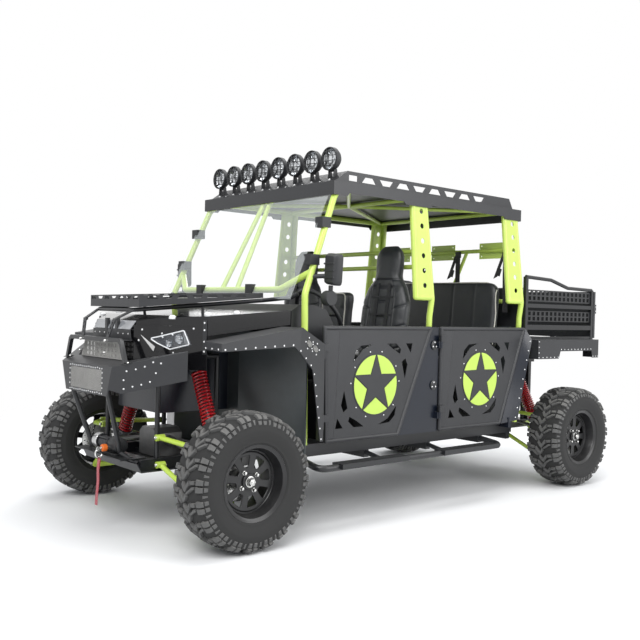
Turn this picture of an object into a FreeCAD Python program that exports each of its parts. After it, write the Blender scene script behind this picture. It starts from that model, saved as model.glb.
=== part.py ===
import FreeCAD, Part
import math
import os

# Four-seat side by side utility vehicle. Millimetres, +Z up, front faces -Y,
# +X is the vehicle's left. Stations are measured back from the front axle, as
# drawn with the rear axle at REAR_AXLE; at() sets them out for the wheelbase.
V = FreeCAD.Vector

# Wheels and axles
WHEELBASE = 2932.0
REAR_AXLE = 2932.0
STRETCH_START = 590.0
STRETCH_END = 2505.0
TRACK = 1674.0
TYRE_RADIUS = 355.5
TYRE_WIDTH = 264.0
CARCASS_DEPTH = 20.0
BEAD_RADIUS = 181.0
RIM_LIP_RADIUS = 197.0
RIM_INSET = 20.0
RIM_WALL = 6.0
WHEEL_DISC_X = 5.0
WHEEL_DISC_THICK = 12.0
WHEEL_WINDOWS = 8
WINDOW_INNER_RADIUS = 74.0
WINDOW_OUTER_RADIUS = 138.0
WHEEL_HUB_RADIUS = 50.0
BRAKE_DISC_RADIUS = 118.0
BRAKE_DISC_THICK = 6.0
BRAKE_DISC_X = -50.0
SPINDLE_RADIUS = 28.0

# Overhangs set the ends of the vehicle
FRONT_OVERHANG = 475.0
REAR_OVERHANG = 508.0

# Clearances
SEAT_GAP = 0.3
RUNNING_GAP = 0.3
PANEL_GAP = 6.0

# Steering and suspension
KINGPIN_OFFSET = 112.0
BALL_HEIGHT = 118.0
BALL_EYE_RADIUS = 22.0
BALL_EYE_HEIGHT = 30.0
ARM_TUBE = 14.0
ARM_EYE_RADIUS = 18.0
CV_RADIUS = 29.0
SHAFT_RADIUS = 13.0
DRIVE_OUTPUT_Z = 462.0
DRIVE_DEPTH = 90.0
RACK_STATION = 130.0
RACK_RISE = 70.0
STEER_ARM = 95.0
RACK_BAR_RADIUS = 13.0
TIE_ROD_RADIUS = 9.0
SPRING_RADIUS = 44.0
SPRING_TURNS = 9
SPRING_FOOT = 214.0
DAMPER_RADIUS = 26.0
SHOCK_TOP_X = 300.0
SHOCK_OFFSET = 45.0
KNEE_X = 610.0
SHOCK_FOOT_X = 606.0
KNEE_SPREAD = 115.0
SHOCK_EYE_RADIUS = 18.0
LOWER_PIVOT_SPREAD = 190.0
UPPER_PIVOT_SPREAD = 190.0
UPPER_PIVOT_Z = 520.0
TOWER_TOP_Z = 955.0
REAR_TOWER_TOP_Z = 876.0
TOWER_TUBE = 14.0

# Frame
RAIL_X = 290.0
RAIL_WIDTH = 50.0
RAIL_HEIGHT = 60.0
RAIL_Z = 345.0
SILL_X = 665.0
SILL_WIDTH = 50.0
SILL_TOP = 470.0
SKID_THICK = 6.0

# Cab
CAB_HALF_WIDTH = 745.0
FLOOR_THICK = 6.0
FIREWALL_STATION = 300.0
FIREWALL_TOP = 1100.0
CAB_BACK_STATION = 2480.0
SEAT_BOX_TOP = 780.0
CAGE_TUBE = 19.0
CAGE_SIDE_X = 640.0

# Roof
ROOF_HALF_WIDTH = 681.0
ROOF_FRONT = 708.0
ROOF_REAR = 2505.0
ROOF_SKIN_Z = 1985.0
ROOF_BOTTOM = ROOF_SKIN_Z - 80.0
ROOF_SHEET = 4.0
RAIL_HALF_WIDTH = 651.0
RAIL_TOP_Z = ROOF_SKIN_Z + 74.0
RAIL_FRONT_TOP = 840.0
RAIL_FRONT_FOOT = 735.0
RAIL_REAR_TOP = 2400.0
RAIL_REAR_FOOT = 2445.0
LAMP_COUNT = 8
LAMP_PITCH = 165.0
LAMP_RADIUS = 70.0
LAMP_DEPTH = 62.0
LAMP_FACE_STATION = 758.0
LAMP_Z = RAIL_TOP_Z + 69.0

# Doors
DOOR_X = 735.0
DOOR_THICK = 22.0
DOOR_TUBE = 12.0
DOOR_PANEL = 5.0
DOOR_TOP = 1146.0
DOOR_BOTTOM = 475.0
FRONT_DOOR_FRONT_TOP = 592.0
FRONT_DOOR_FRONT_FOOT = 622.0
FRONT_DOOR_REAR_TOP = 1509.0
FRONT_DOOR_REAR_FOOT = 1228.0
REAR_DOOR_FRONT = 1587.0
REAR_DOOR_REAR_TOP = 2491.0
REAR_DOOR_REAR_FOOT = 2237.0
STAR_DISC_RADIUS = 184.0
STAR_DISC_Z = 797.0
HINGE_X = 771.0
HINGE_RADIUS = 8.0
HINGE_HEIGHT = 40.0
FRONT_HINGE_STATION = 584.0
REAR_HINGE_STATION = 1577.0
FRONT_HINGES = (560.0, 960.0)
REAR_HINGES = (560.0, 1010.0)
FRONT_DISC_STATION = 1016.0
REAR_DISC_STATION = 2000.0

# Bed
BED_FRONT = 2515.0
BED_REAR = 3400.0
BED_FLOOR_Z = 1062.0
BED_HALF_WIDTH = 735.0
BED_SHEET = 6.0
SHELF_HALF_WIDTH = 850.0
SHELF_BOTTOM = 925.0
TAILGATE_THICK = 24.0
TAILGATE_TOP = 1440.0
TAIL_HINGE_END = 340.0
BEAM_X = 300.0
BEAM_WIDTH = 40.0
BED_RAIL_TOP = 925.0
BED_RAIL_HEIGHT = 60.0
BED_PIVOT_STATION = 3230.0
BED_POST_STATION = 3149.0
PIN_RADIUS = 12.0

# Nose
BUMPER_TOP = 908.0
BUMPER_BOTTOM = 749.0
BUMPER_TOP_HALF = 307.0
BUMPER_FOOT_HALF = 250.0
BUMPER_SHEET = 5.0
DECK_REAR = -380.0
WING_X = 600.0
WING_STATION = -197.0
WING_TOP = 1002.0
WING_BOTTOM = 849.0
HOOD_LIP_Z = 1128.0
TRAY_FRONT = -316.0
TRAY_REAR = 392.0
TRAY_FRONT_HALF = 290.0
TRAY_FRONT_Z = 1224.0
TRAY_REAR_Z = 1295.0
TRAY_DEPTH = 28.0
TRAY_REAR_HALF = 446.0
TRAY_SHEET = 4.0
TRAY_TUBE = 12.0
FENDER_X = 850.0
FENDER_SHEET = 5.0
STEP_X = 850.0
STEP_Z = 356.0
STEP_TUBE = 19.0

WHEEL_Z = TYRE_RADIUS
OVERALL_LENGTH = FRONT_OVERHANG + WHEELBASE + REAR_OVERHANG
FRONT_AXLE_Y = FRONT_OVERHANG - OVERALL_LENGTH / 2
RAIL_TOP = RAIL_Z + RAIL_HEIGHT
WINCH_BASE_Z = RAIL_TOP + 6.0
KINGPIN_X = TRACK / 2 - KINGPIN_OFFSET


def at(x, station, z):
    """Point at a drawn station. The cab between the dash and the bed takes up the wheelbase."""
    growth = WHEELBASE - REAR_AXLE
    share = (station - STRETCH_START) / (STRETCH_END - STRETCH_START)
    return V(x, FRONT_AXLE_Y + station + growth * min(1, max(0, share)), z)


def box(x0, x1, s0, s1, z0, z1):
    low, high = at(x0, s0, z0), at(x1, s1, z1)
    size = high - low
    return Part.makeBox(size.x, size.y, size.z, low)


def prism(points, direction):
    return Part.Face(Part.makePolygon(points + [points[0]])).extrude(direction)


def plate_x(outline, x0, x1):
    """Plate in the side view, its outline in station and height."""
    return prism([at(x0, s, z) for s, z in outline], V(x1 - x0, 0, 0))


def plate_y(outline, s0, s1):
    """Plate in the front view, its outline in x and height."""
    return prism([at(x, s0, z) for x, z in outline], at(0, s1, 0) - at(0, s0, 0))


def plate_z(outline, z0, z1):
    """Plate in the plan view, its outline in x and station."""
    return prism([at(x, s, z0) for x, s in outline], V(0, 0, z1 - z0))


def panel(points, thick):
    """Flat sheet on three or four points, thickened along its normal."""
    normal = (points[1] - points[0]).cross(points[2] - points[0])
    normal.normalize()
    return prism(points, normal * thick)


def ruled(first, second):
    """Solid between two outlines of as many points."""
    wires = [Part.makePolygon(points + [points[0]]) for points in (first, second)]
    return Part.makeLoft(wires, True, True)


def rod(a, b, radius):
    run = b - a
    return Part.makeCylinder(radius, run.Length, a, run)


def disc_x(centre, radius, x0, x1):
    return Part.makeCylinder(radius, x1 - x0, centre + V(x0, 0, 0), V(1, 0, 0))


def bend_path(points, bend):
    """Straight runs joined by tangent arcs."""
    edges = []
    start = points[0]
    for before, corner, after in zip(points, points[1:], points[2:]):
        u = (before - corner).normalize()
        v = (after - corner).normalize()
        half = u.getAngle(v) / 2
        reach = min((before - corner).Length, (after - corner).Length) * 0.45
        tangent = min(bend / math.tan(half), reach)
        radius = tangent * math.tan(half)
        inward = (u + v).normalize()
        first, last = corner + u * tangent, corner + v * tangent
        middle = corner + inward * (radius / math.sin(half) - radius)
        edges.append(Part.LineSegment(start, first).toShape())
        edges.append(Part.Arc(first, middle, last).toShape())
        start = last
    edges.append(Part.LineSegment(start, points[-1]).toShape())
    return Part.Wire(edges)


def tube(points, radius, bend=60.0):
    if len(points) == 2:
        return rod(points[0], points[1], radius)
    path = bend_path(points, bend)
    ring = Part.Wire([Part.makeCircle(radius, points[0], points[1] - points[0])])
    return path.makePipeShell([ring], True, False)


def fused(shapes):
    return shapes[0].fuse(shapes[1:]).removeSplitter()


def largest(shape):
    return max(shape.Solids, key=lambda solid: solid.Volume)


def mirrored(shape):
    return shape.mirror(V(0, 0, 0), V(1, 0, 0))


def both(shape):
    """The left-hand solid and its right-hand twin."""
    return Part.makeCompound([shape, mirrored(shape)])


def revolved(outline, centre):
    """Solid of revolution about X from an outline in x and radius."""
    points = [centre + V(x, 0, r) for x, r in outline]
    face = Part.Face(Part.makePolygon(points + [points[0]]))
    return face.revolve(centre, V(1, 0, 0), 360)


def spline_edge(points):
    curve = Part.BSplineCurve()
    curve.interpolate(points)
    return curve.toShape()


def wheel_centre(front, side):
    return at(side * TRACK / 2, 0 if front else REAR_AXLE, WHEEL_Z)


def tyre():
    """Hollow tyre about the origin, out to the tips of its lugs."""
    half = TYRE_WIDTH / 2
    heel = half - RIM_INSET - 14.5
    outer = [V(heel, 0, BEAD_RADIUS + 18), V(half - 6, 0, 226), V(half, 0, 262), V(half - 3, 0, 300)]
    shoulder = V(half - 22, 0, TYRE_RADIUS - 6)
    crown = V(0, 0, TYRE_RADIUS)
    inner = [V(heel - 18, 0, BEAD_RADIUS + 18), V(half - 26, 0, 232), V(half - 16, 0, 262), V(half - 20, 0, 298)]
    belt = V(half - 40, 0, TYRE_RADIUS - CARCASS_DEPTH - 6)
    hollow = V(0, 0, TYRE_RADIUS - CARCASS_DEPTH)
    flip = lambda p: V(-p.x, 0, p.z)
    right = [
        Part.LineSegment(V(heel, 0, BEAD_RADIUS), outer[0]).toShape(),
        spline_edge(outer),
        Part.LineSegment(outer[-1], shoulder).toShape(),
        Part.LineSegment(shoulder, crown).toShape(),
        Part.LineSegment(V(heel, 0, BEAD_RADIUS), V(heel - 18, 0, BEAD_RADIUS)).toShape(),
        Part.LineSegment(V(heel - 18, 0, BEAD_RADIUS), inner[0]).toShape(),
        spline_edge(inner),
        Part.LineSegment(inner[-1], belt).toShape(),
        Part.LineSegment(belt, hollow).toShape(),
    ]
    left = [edge.mirror(V(0, 0, 0), V(1, 0, 0)) for edge in right]
    outline = Part.Wire(Part.__sortEdges__(right + left))
    return Part.Face(outline).revolve(V(0, 0, 0), V(1, 0, 0), 360)


def rim():
    """Deep-dish rim about the origin with its outer side at +X."""
    half = TYRE_WIDTH / 2 - RIM_INSET
    lip, seat, well = RIM_LIP_RADIUS, BEAD_RADIUS - SEAT_GAP, BEAD_RADIUS - 13
    wall = RIM_WALL
    outside = [(half, lip), (half - 12, lip), (half - 14, seat), (half - 34, seat - 3), (half - 52, well)]
    inside = [(half - 50, well - wall), (half - 30, seat - 3 - wall), (half - 8, seat - wall), (half, lip - wall)]
    outline = outside + [(-x, r) for x, r in reversed(outside)]
    outline += [(-x, r) for x, r in reversed(inside)] + inside
    barrel = revolved(outline, V(0, 0, 0))
    disc = disc_x(V(0, 0, 0), well - wall / 2, WHEEL_DISC_X, WHEEL_DISC_X + WHEEL_DISC_THICK)
    windows = []
    for index in range(WHEEL_WINDOWS):
        spread = math.pi / WHEEL_WINDOWS
        corners = []
        for radius, share in ((WINDOW_INNER_RADIUS, 0.42), (WINDOW_OUTER_RADIUS, 0.66)):
            for side in (-1, 1):
                angle = side * spread * share
                corners.append(V(0, radius * math.sin(angle), radius * math.cos(angle)))
        quad = [corners[0], corners[1], corners[3], corners[2]]
        window = prism(quad, V(WHEEL_DISC_THICK * 3, 0, 0))
        window.rotate(V(0, 0, 0), V(1, 0, 0), index * 360 / WHEEL_WINDOWS)
        windows.append(window)
    disc = disc.cut(windows)
    cap = disc_x(V(0, 0, 0), 30, WHEEL_DISC_X + WHEEL_DISC_THICK, WHEEL_DISC_X + WHEEL_DISC_THICK + 28)
    return fused([barrel, disc, cap])


def hub():
    """Spindle, brake disc and wheel flange about the origin."""
    disc_end = BRAKE_DISC_X + BRAKE_DISC_THICK
    outline = [
        (-78, 0),
        (-78, SPINDLE_RADIUS),
        (BRAKE_DISC_X, SPINDLE_RADIUS),
        (BRAKE_DISC_X, BRAKE_DISC_RADIUS),
        (disc_end, BRAKE_DISC_RADIUS),
        (disc_end, WHEEL_HUB_RADIUS),
        (WHEEL_DISC_X, WHEEL_HUB_RADIUS),
        (WHEEL_DISC_X, 0),
    ]
    return revolved(outline, V(0, 0, 0))


def knuckle(steered):
    """Upright about the wheel centre, outer side at +X."""
    x0, x1 = -KINGPIN_OFFSET - 28, -60
    top = BALL_HEIGHT - RUNNING_GAP
    outline = [(-38, -70), (-20, -top), (20, -top), (38, -70), (50, 0), (38, 70), (20, top), (-20, top), (-38, 70), (-50, 0)]
    face = [V(x0, y, z) for y, z in outline]
    body = prism(face, V(x1 - x0, 0, 0))
    caliper = Part.makeBox(38, 80, 52, V(-66, 10, 66))
    slot = disc_x(V(0, 0, 0), BRAKE_DISC_RADIUS + 5, BRAKE_DISC_X - 5, BRAKE_DISC_X + BRAKE_DISC_THICK + 5)
    arms = [body, caliper.cut(slot)]
    if steered:
        arms.append(Part.makeBox(24, STEER_ARM - 20, 16, V(-KINGPIN_OFFSET - 12, 20, RACK_RISE - 30)))
        arms.append(Part.makeCylinder(16, 16, V(-KINGPIN_OFFSET, STEER_ARM, RACK_RISE - 30)))
    solid = fused(arms)
    cavity = disc_x(V(0, 0, 0), CV_RADIUS + 10, x0 - 1, -84)
    bearing = disc_x(V(0, 0, 0), SPINDLE_RADIUS + RUNNING_GAP, -85, x1 + 1)
    return solid.cut([cavity, bearing])


def placed(shape, centre, side):
    """Copy of a wheel part at a wheel centre, mirrored on the right."""
    copy = shape.copy() if side > 0 else mirrored(shape)
    copy.translate(centre)
    return copy


def suspension_arm(axle, ball_z, pivot_x, pivot_z, spread):
    """Two-legged arm with inboard eyes and a ball-joint eye."""
    mid_z = ball_z + BALL_EYE_HEIGHT / 2
    pieces = [Part.makeCylinder(BALL_EYE_RADIUS, BALL_EYE_HEIGHT, at(KINGPIN_X, axle, ball_z))]
    for side in (-1, 1):
        pivot = at(pivot_x, axle + side * spread, pivot_z)
        knee = at(KNEE_X, axle + side * KNEE_SPREAD, mid_z)
        tip = at(KINGPIN_X - 12, axle + side * 8, mid_z)
        pieces.append(tube([pivot, knee, tip], ARM_TUBE, 40))
        pieces.append(rod(pivot - V(0, 25, 0), pivot + V(0, 25, 0), ARM_EYE_RADIUS))
    return fused(pieces)


def lower_arm(axle):
    """Lower arm with the cross bar that the shock stands on."""
    pivot_x = RAIL_X + RAIL_WIDTH / 2 + ARM_EYE_RADIUS + SEAT_GAP
    ball_z = WHEEL_Z - BALL_HEIGHT - BALL_EYE_HEIGHT
    arm = suspension_arm(axle, ball_z, pivot_x, RAIL_Z + RAIL_HEIGHT / 2, LOWER_PIVOT_SPREAD)
    bar_z = ball_z + BALL_EYE_HEIGHT / 2
    bar = rod(at(SHOCK_FOOT_X, axle - KNEE_SPREAD, bar_z), at(SHOCK_FOOT_X, axle + KNEE_SPREAD, bar_z), ARM_TUBE)
    return fused([arm, bar])


def shock_foot_z():
    """Height of the shock's lower eye, seated on the arm's cross bar."""
    bar_z = WHEEL_Z - BALL_HEIGHT - BALL_EYE_HEIGHT / 2
    return bar_z + ARM_TUBE + SHOCK_EYE_RADIUS + SEAT_GAP


def upper_arm(axle):
    pivot_x = RAIL_X + TOWER_TUBE + ARM_EYE_RADIUS + SEAT_GAP
    return suspension_arm(axle, WHEEL_Z + BALL_HEIGHT, pivot_x, UPPER_PIVOT_Z, UPPER_PIVOT_SPREAD)


def tower_top(axle):
    return TOWER_TOP_Z if axle == 0 else REAR_TOWER_TOP_Z


def shock_ends(axle):
    top_z = tower_top(axle) - TOWER_TUBE - SHOCK_EYE_RADIUS - SEAT_GAP
    station = axle + SHOCK_OFFSET
    return at(SHOCK_TOP_X, station, top_z), at(SHOCK_FOOT_X, station, shock_foot_z())


def shock(axle):
    top, foot = shock_ends(axle)
    run = top - foot
    along = V(run.x, run.y, run.z).normalize()
    eyes = [rod(p - V(0, 20, 0), p + V(0, 20, 0), SHOCK_EYE_RADIUS) for p in (top, foot)]
    body = rod(foot, foot + along * (run.Length * 0.55), DAMPER_RADIUS)
    shaft = rod(foot, top, 11)
    seat = rod(foot + along * (SPRING_FOOT - 8), foot + along * SPRING_FOOT, SPRING_RADIUS + 4)
    cap = rod(top - along * 62, top - along * 54, SPRING_RADIUS + 4)
    reservoir = rod(top - along * 54, top - along * 20, DAMPER_RADIUS)
    return fused([body, shaft, seat, cap, reservoir] + eyes)


def spring(axle):
    """Spring sleeve with one crest for each turn."""
    top, foot = shock_ends(axle)
    run = top - foot
    along = V(run.x, run.y, run.z).normalize()
    low, high = SPRING_FOOT + SEAT_GAP, run.Length - 62 - SEAT_GAP
    bore = DAMPER_RADIUS + 2
    pitch = (high - low) / SPRING_TURNS
    outline = [(bore, low)]
    for turn in range(SPRING_TURNS):
        start = low + turn * pitch
        outline.append((SPRING_RADIUS - 9, start))
        outline.append((SPRING_RADIUS, start + pitch / 2))
    outline += [(SPRING_RADIUS - 9, high), (bore, high)]
    points = [V(r, 0, z) for r, z in outline]
    sleeve = Part.Face(Part.makePolygon(points + [points[0]])).revolve(V(0, 0, 0), V(0, 0, 1), 360)
    sleeve.rotate(V(0, 0, 0), V(0, 1, 0), math.degrees(math.atan2(along.x, along.z)))
    sleeve.translate(foot)
    return sleeve


def drive_unit(axle):
    """Differential with its two half shafts out to the wheels' joints."""
    z = DRIVE_OUTPUT_Z
    low = z - DRIVE_DEPTH
    outline = [(-95, low), (95, low), (95, z + 40), (60, z + 70), (-60, z + 70), (-95, z + 40)]
    case = plate_y(outline, axle - 85, axle + 85)
    pieces = [case]
    for side in (-1, 1):
        inner = at(side * 95, axle, z)
        outer = at(side * KINGPIN_X, axle, WHEEL_Z)
        pieces.append(rod(inner, outer, SHAFT_RADIUS))
        pieces.append(Part.makeSphere(CV_RADIUS, outer))
        pieces.append(rod(inner, inner + (outer - inner) * 0.12, 30))
    return fused(pieces)


def steering_rack():
    z = WHEEL_Z + RACK_RISE
    s = RACK_STATION
    bar = rod(at(-250, s, z), at(250, s, z), RACK_BAR_RADIUS)
    pieces = [bar]
    for side in (-1, 1):
        end = at(side * KINGPIN_X, STEER_ARM, z)
        pieces.append(rod(at(side * 245, s, z), end, TIE_ROD_RADIUS))
        pieces.append(Part.makeCylinder(14, 26, end - V(0, 0, 8)))
    return fused(pieces)


def rack_housing():
    z = WHEEL_Z + RACK_RISE
    case = rod(at(-175, RACK_STATION, z), at(175, RACK_STATION, z), 26)
    bore = rod(at(-180, RACK_STATION, z), at(180, RACK_STATION, z), RACK_BAR_RADIUS + RUNNING_GAP)
    return case.cut(bore)


def main_frame():
    """Ladder frame with its sills and cross members."""
    front, rear = -300, REAR_AXLE + 250
    pieces = []
    for side in (-1, 1):
        x = side * RAIL_X
        pieces.append(box(x - RAIL_WIDTH / 2, x + RAIL_WIDTH / 2, front, rear, RAIL_Z, RAIL_TOP))
        x = side * SILL_X
        pieces.append(box(x - SILL_WIDTH / 2, x + SILL_WIDTH / 2, 500, 2440, RAIL_TOP - 5, SILL_TOP))
    for station in (520, 1010, 1560, 2090, 2400):
        pieces.append(box(-SILL_X - SILL_WIDTH / 2, SILL_X + SILL_WIDTH / 2, station - 20, station + 20, RAIL_Z + 10, RAIL_TOP))
    for station in (front, rear - 50):
        pieces.append(box(-RAIL_X, RAIL_X, station, station + 50, RAIL_Z, RAIL_TOP))
    return fused(pieces)


def tower(axle):
    """Tubular tower that carries the arms and the shocks of one axle."""
    r = TOWER_TUBE
    top = tower_top(axle)
    reach = UPPER_PIVOT_SPREAD
    station = axle + SHOCK_OFFSET
    pieces = [rod(at(-SHOCK_TOP_X - 30, station, top), at(SHOCK_TOP_X + 30, station, top), r)]
    for station in (axle - reach, axle + reach):
        pieces.append(rod(at(-RAIL_X, station, top), at(RAIL_X, station, top), r))
    for side in (-1, 1):
        x = side * RAIL_X
        pieces.append(rod(at(x, axle - reach, top), at(x, axle + reach, top), r))
        for station in (axle - reach, axle + reach):
            pieces.append(rod(at(x, station, RAIL_TOP - 5), at(x, station, top), r))
            pieces.append(Part.makeSphere(r, at(x, station, top)))
    return pieces


def skid_plate():
    low, high = RAIL_Z - SKID_THICK, RAIL_Z
    outline = [(-322, high + 45), (-300, high), (2600, high), (2600, low), (-302, low), (-329, high + 43)]
    return plate_x(outline, -RAIL_X - 40, RAIL_X + 40).cut(box(-900, 900, -299, -251, RAIL_Z, RAIL_TOP))


def floor_pan():
    """Floor, footwell walls and back wall of the cab."""
    half = SILL_X - SILL_WIDTH / 2
    base = RAIL_TOP
    front, wide = FIREWALL_STATION, CAB_HALF_WIDTH
    corner = front + (half - 350) * (480 - front) / (wide - 350)
    edge = [(-half, corner), (-350, front), (350, front), (half, corner), (half, CAB_BACK_STATION), (-half, CAB_BACK_STATION)]
    floor = plate_z(edge, base, base + FLOOR_THICK)
    plan = [(-wide, 480), (-350, front), (350, front), (wide, 480), (wide, 488), (350, front + 8), (-350, front + 8), (-wide, 488)]
    wall = plate_z(plan, base, FIREWALL_TOP)
    back = box(-half, half, CAB_BACK_STATION - FLOOR_THICK, CAB_BACK_STATION, base, 1150)
    return fused([floor, wall, back]).cut(main_frame())


def seat_boxes():
    half = SILL_X - SILL_WIDTH / 2 - 2
    base = RAIL_TOP + FLOOR_THICK
    outline_front = [(960, base), (1420, base), (1420, SEAT_BOX_TOP), (930, SEAT_BOX_TOP), (930, SEAT_BOX_TOP - 60)]
    outline_rear = [(1900, base), (2380, base), (2380, SEAT_BOX_TOP), (1870, SEAT_BOX_TOP), (1870, SEAT_BOX_TOP - 60)]
    return Part.makeCompound([plate_x(outline_front, -half, half), plate_x(outline_rear, -half, half)])


def dash():
    """Dashboard and cowl, with the bore for the steering column."""
    outline = [(440, 1226), (505, 1262), (600, 1262), (700, 1235), (758, 1150), (758, 1060), (700, 985), (560, 1000), (520, FIREWALL_TOP + SEAT_GAP), (440, FIREWALL_TOP + SEAT_GAP)]
    body = plate_x(outline, -650, 650)
    return body.cut(column_bore())


STEER_X = 370.0
STEER_STATION = 880.0
STEER_Z = 1205.0
STEER_TILT = 35.0
STEER_RADIUS = 178.0
COLUMN_RADIUS = 14.0


def column_axis():
    tilt = math.radians(STEER_TILT)
    return V(0, math.cos(tilt), math.sin(tilt))


def column_bore():
    centre = at(STEER_X, STEER_STATION, STEER_Z)
    return rod(centre, centre - column_axis() * 330, COLUMN_RADIUS + RUNNING_GAP)


def steering_wheel():
    centre = at(STEER_X, STEER_STATION, STEER_Z)
    along = column_axis()
    ring = Part.makeTorus(STEER_RADIUS, 14, centre, along)
    boss = rod(centre - along * 30, centre + along * 8, 46)
    column = rod(centre - along * 300, centre, COLUMN_RADIUS)
    spokes = []
    for angle in (0, 90, 180):
        reach = V(math.cos(math.radians(angle)), 0, 0) - along.cross(V(1, 0, 0)) * -math.sin(math.radians(angle))
        spokes.append(rod(centre - along * 6, centre + reach.normalize() * STEER_RADIUS, 9))
    return fused([ring, boss, column] + spokes)


def a_pillar_points():
    return [at(690, 520, SILL_TOP), at(703, 490, 1320), at(654, 735, ROOF_BOTTOM - 5), at(CAGE_SIDE_X, 800, roof_tube_z())]


def roof_tube_z():
    return ROOF_SKIN_Z - ROOF_SHEET - CAGE_TUBE - SEAT_GAP


def cage_front():
    """A-pillars, windscreen frame and front header."""
    r = CAGE_TUBE
    left = a_pillar_points()
    right = [V(-p.x, p.y, p.z) for p in left]
    pieces = [tube(left, r, 90), tube(right, r, 90)]
    pieces.append(rod(left[-1], right[-1], r))
    low = [at(692, 555, 1455), at(510, 462, 1345), at(-510, 462, 1345), at(-692, 555, 1455)]
    pieces.append(tube(low, r, 60))
    for side in (-1, 1):
        pieces.append(rod(at(side * 80, 462, 1345), at(side * 32, 738, ROOF_BOTTOM), 15))
        pieces.append(rod(at(side * 32, 738, ROOF_BOTTOM), at(side * 32, 800, roof_tube_z()), 15))
    return fused(pieces).cut(main_frame())


def pillar(front_top, front_foot, rear_top, rear_foot):
    """One double-tube pillar on the left, with its tail down to the sill."""
    r = CAGE_TUBE
    top_x, foot_x = 653, 716
    top_z = roof_tube_z() - 8
    front = tube([at(top_x, front_top, top_z), at(foot_x, front_foot, 1330)], r)
    tail = [at(top_x, rear_top, top_z), at(foot_x, rear_foot, 1320), at(705, rear_foot - 6, 1210), at(690, rear_foot - 12, SILL_TOP)]
    rear = tube(tail, r, 120)
    foot = rod(at(foot_x, front_foot, 1330), at(foot_x, rear_foot, 1330), r)
    cap = Part.makeSphere(r, at(foot_x, front_foot, 1330))
    outer = foot_x + r - 4
    plate = ruled(
        [at(outer - 4, front_foot, 1330), at(outer - 4, rear_foot, 1330), at(outer, rear_foot, 1330), at(outer, front_foot, 1330)],
        [at(outer - 66, front_top, top_z), at(outer - 66, rear_top, top_z), at(outer - 62, rear_top, top_z), at(outer - 62, front_top, top_z)],
    )
    holes = []
    for index in range(6):
        share = (index + 0.8) / 6.6
        s = front_foot + (rear_foot - front_foot) / 2
        z = 1330 + (top_z - 1330) * share
        holes.append(rod(at(600, s, z), at(800, s, z), 17))
    return fused([front, rear, foot, cap, plate]).cut(holes + [main_frame()])


def cage_hoop(pillar_solid, station, bars):
    """Two pillars with the cross bars between them."""
    pieces = [pillar_solid, mirrored(pillar_solid)]
    for z, s in bars:
        pieces.append(rod(at(-690, s, z), at(690, s, z), 15))
    return fused(pieces)


def cage_middle():
    return cage_hoop(pillar(1395, 1385, 1507, 1533), 1507, [(1630, 1515), (1530, 1520)])


def cage_rear():
    hoop = cage_hoop(pillar(2338, 2335, 2463, 2484), 2463, [(1700, 2440)])
    brace = rod(at(250, 2440, 1700), at(60, 2450, 1330), 13)
    low = rod(at(-690, 2450, 1330), at(690, 2450, 1330), 15)
    return fused([hoop, brace, low])


def cage_roof():
    """Side rails and cross tubes that tie the hoops under the roof."""
    z = roof_tube_z()
    pieces = []
    for side in (-1, 1):
        pieces.append(rod(at(side * CAGE_SIDE_X, 800 + CAGE_TUBE + SEAT_GAP, z), at(side * CAGE_SIDE_X, 2463, z), CAGE_TUBE))
    for station in (1451, 2400):
        pieces.append(rod(at(-CAGE_SIDE_X, station, z), at(CAGE_SIDE_X, station, z), 15))
    for side in (-1, 1):
        pieces.append(rod(at(side * CAGE_SIDE_X, 860, z), at(0, 1451, z), 13))
        pieces.append(rod(at(0, 1451, z), at(side * CAGE_SIDE_X, 2400, z), 13))
    return fused(pieces).cut([cage_front(), cage_middle(), cage_rear()])


def headrest_plates():
    plates = []
    for x in (-470, 0, 470):
        corner = at(x - 117, 2440, 1700 - 58) + V(0, 15 + SEAT_GAP, 0)
        body = Part.makeBox(234, 5, 116, corner)
        holes = [rod(at(x + dx, 2400, 1700 + dz), at(x + dx, 2500, 1700 + dz), 5) for dx in (-97, 97) for dz in (-38, 38)]
        plates.append(body.cut(holes))
    return Part.makeCompound(plates)


def roof_panel():
    """Roof skin with its skirt below and its rack rail above."""
    t = ROOF_SHEET
    w = ROOF_HALF_WIDTH
    skirt = box(-w, w, ROOF_FRONT, ROOF_REAR, ROOF_BOTTOM, ROOF_SKIN_Z)
    under = box(-w + t, w - t, ROOF_FRONT + t, ROOF_REAR - t, ROOF_BOTTOM - 1, ROOF_SKIN_Z - t)
    w = RAIL_HALF_WIDTH
    profile = [(RAIL_FRONT_FOOT, ROOF_SKIN_Z), (RAIL_FRONT_TOP, RAIL_TOP_Z), (RAIL_REAR_TOP, RAIL_TOP_Z), (RAIL_REAR_FOOT, ROOF_SKIN_Z)]
    inner = [(RAIL_FRONT_FOOT + t, ROOF_SKIN_Z), (RAIL_FRONT_TOP + t, RAIL_TOP_Z + 1), (RAIL_REAR_TOP - t, RAIL_TOP_Z + 1), (RAIL_REAR_FOOT - t, ROOF_SKIN_Z)]
    rail = plate_x(profile, -w, w).cut(plate_x(inner, -w + t, w - t))
    return fused([skirt.cut(under), rail])


def roof_lamps():
    """Row of round lamps on the sloped front of the roof rail."""
    lamps = []
    roof = roof_panel()
    for index in range(LAMP_COUNT):
        x = (index - (LAMP_COUNT - 1) / 2) * LAMP_PITCH
        face = LAMP_FACE_STATION
        profile = [(0, face), (LAMP_RADIUS, face), (LAMP_RADIUS, face + 22), (38, face + LAMP_DEPTH), (0, face + LAMP_DEPTH)]
        points = [at(x + r, s, LAMP_Z) for r, s in profile]
        shell = Part.Face(Part.makePolygon(points + [points[0]])).revolve(at(x, 0, LAMP_Z), V(0, 1, 0), 360)
        foot = box(x - 22, x + 22, face + 14, face + 50, ROOF_SKIN_Z + 6, LAMP_Z - LAMP_RADIUS + 16)
        lamps.append(largest(fused([shell, foot]).cut(roof)))
    return Part.makeCompound(lamps)


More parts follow.
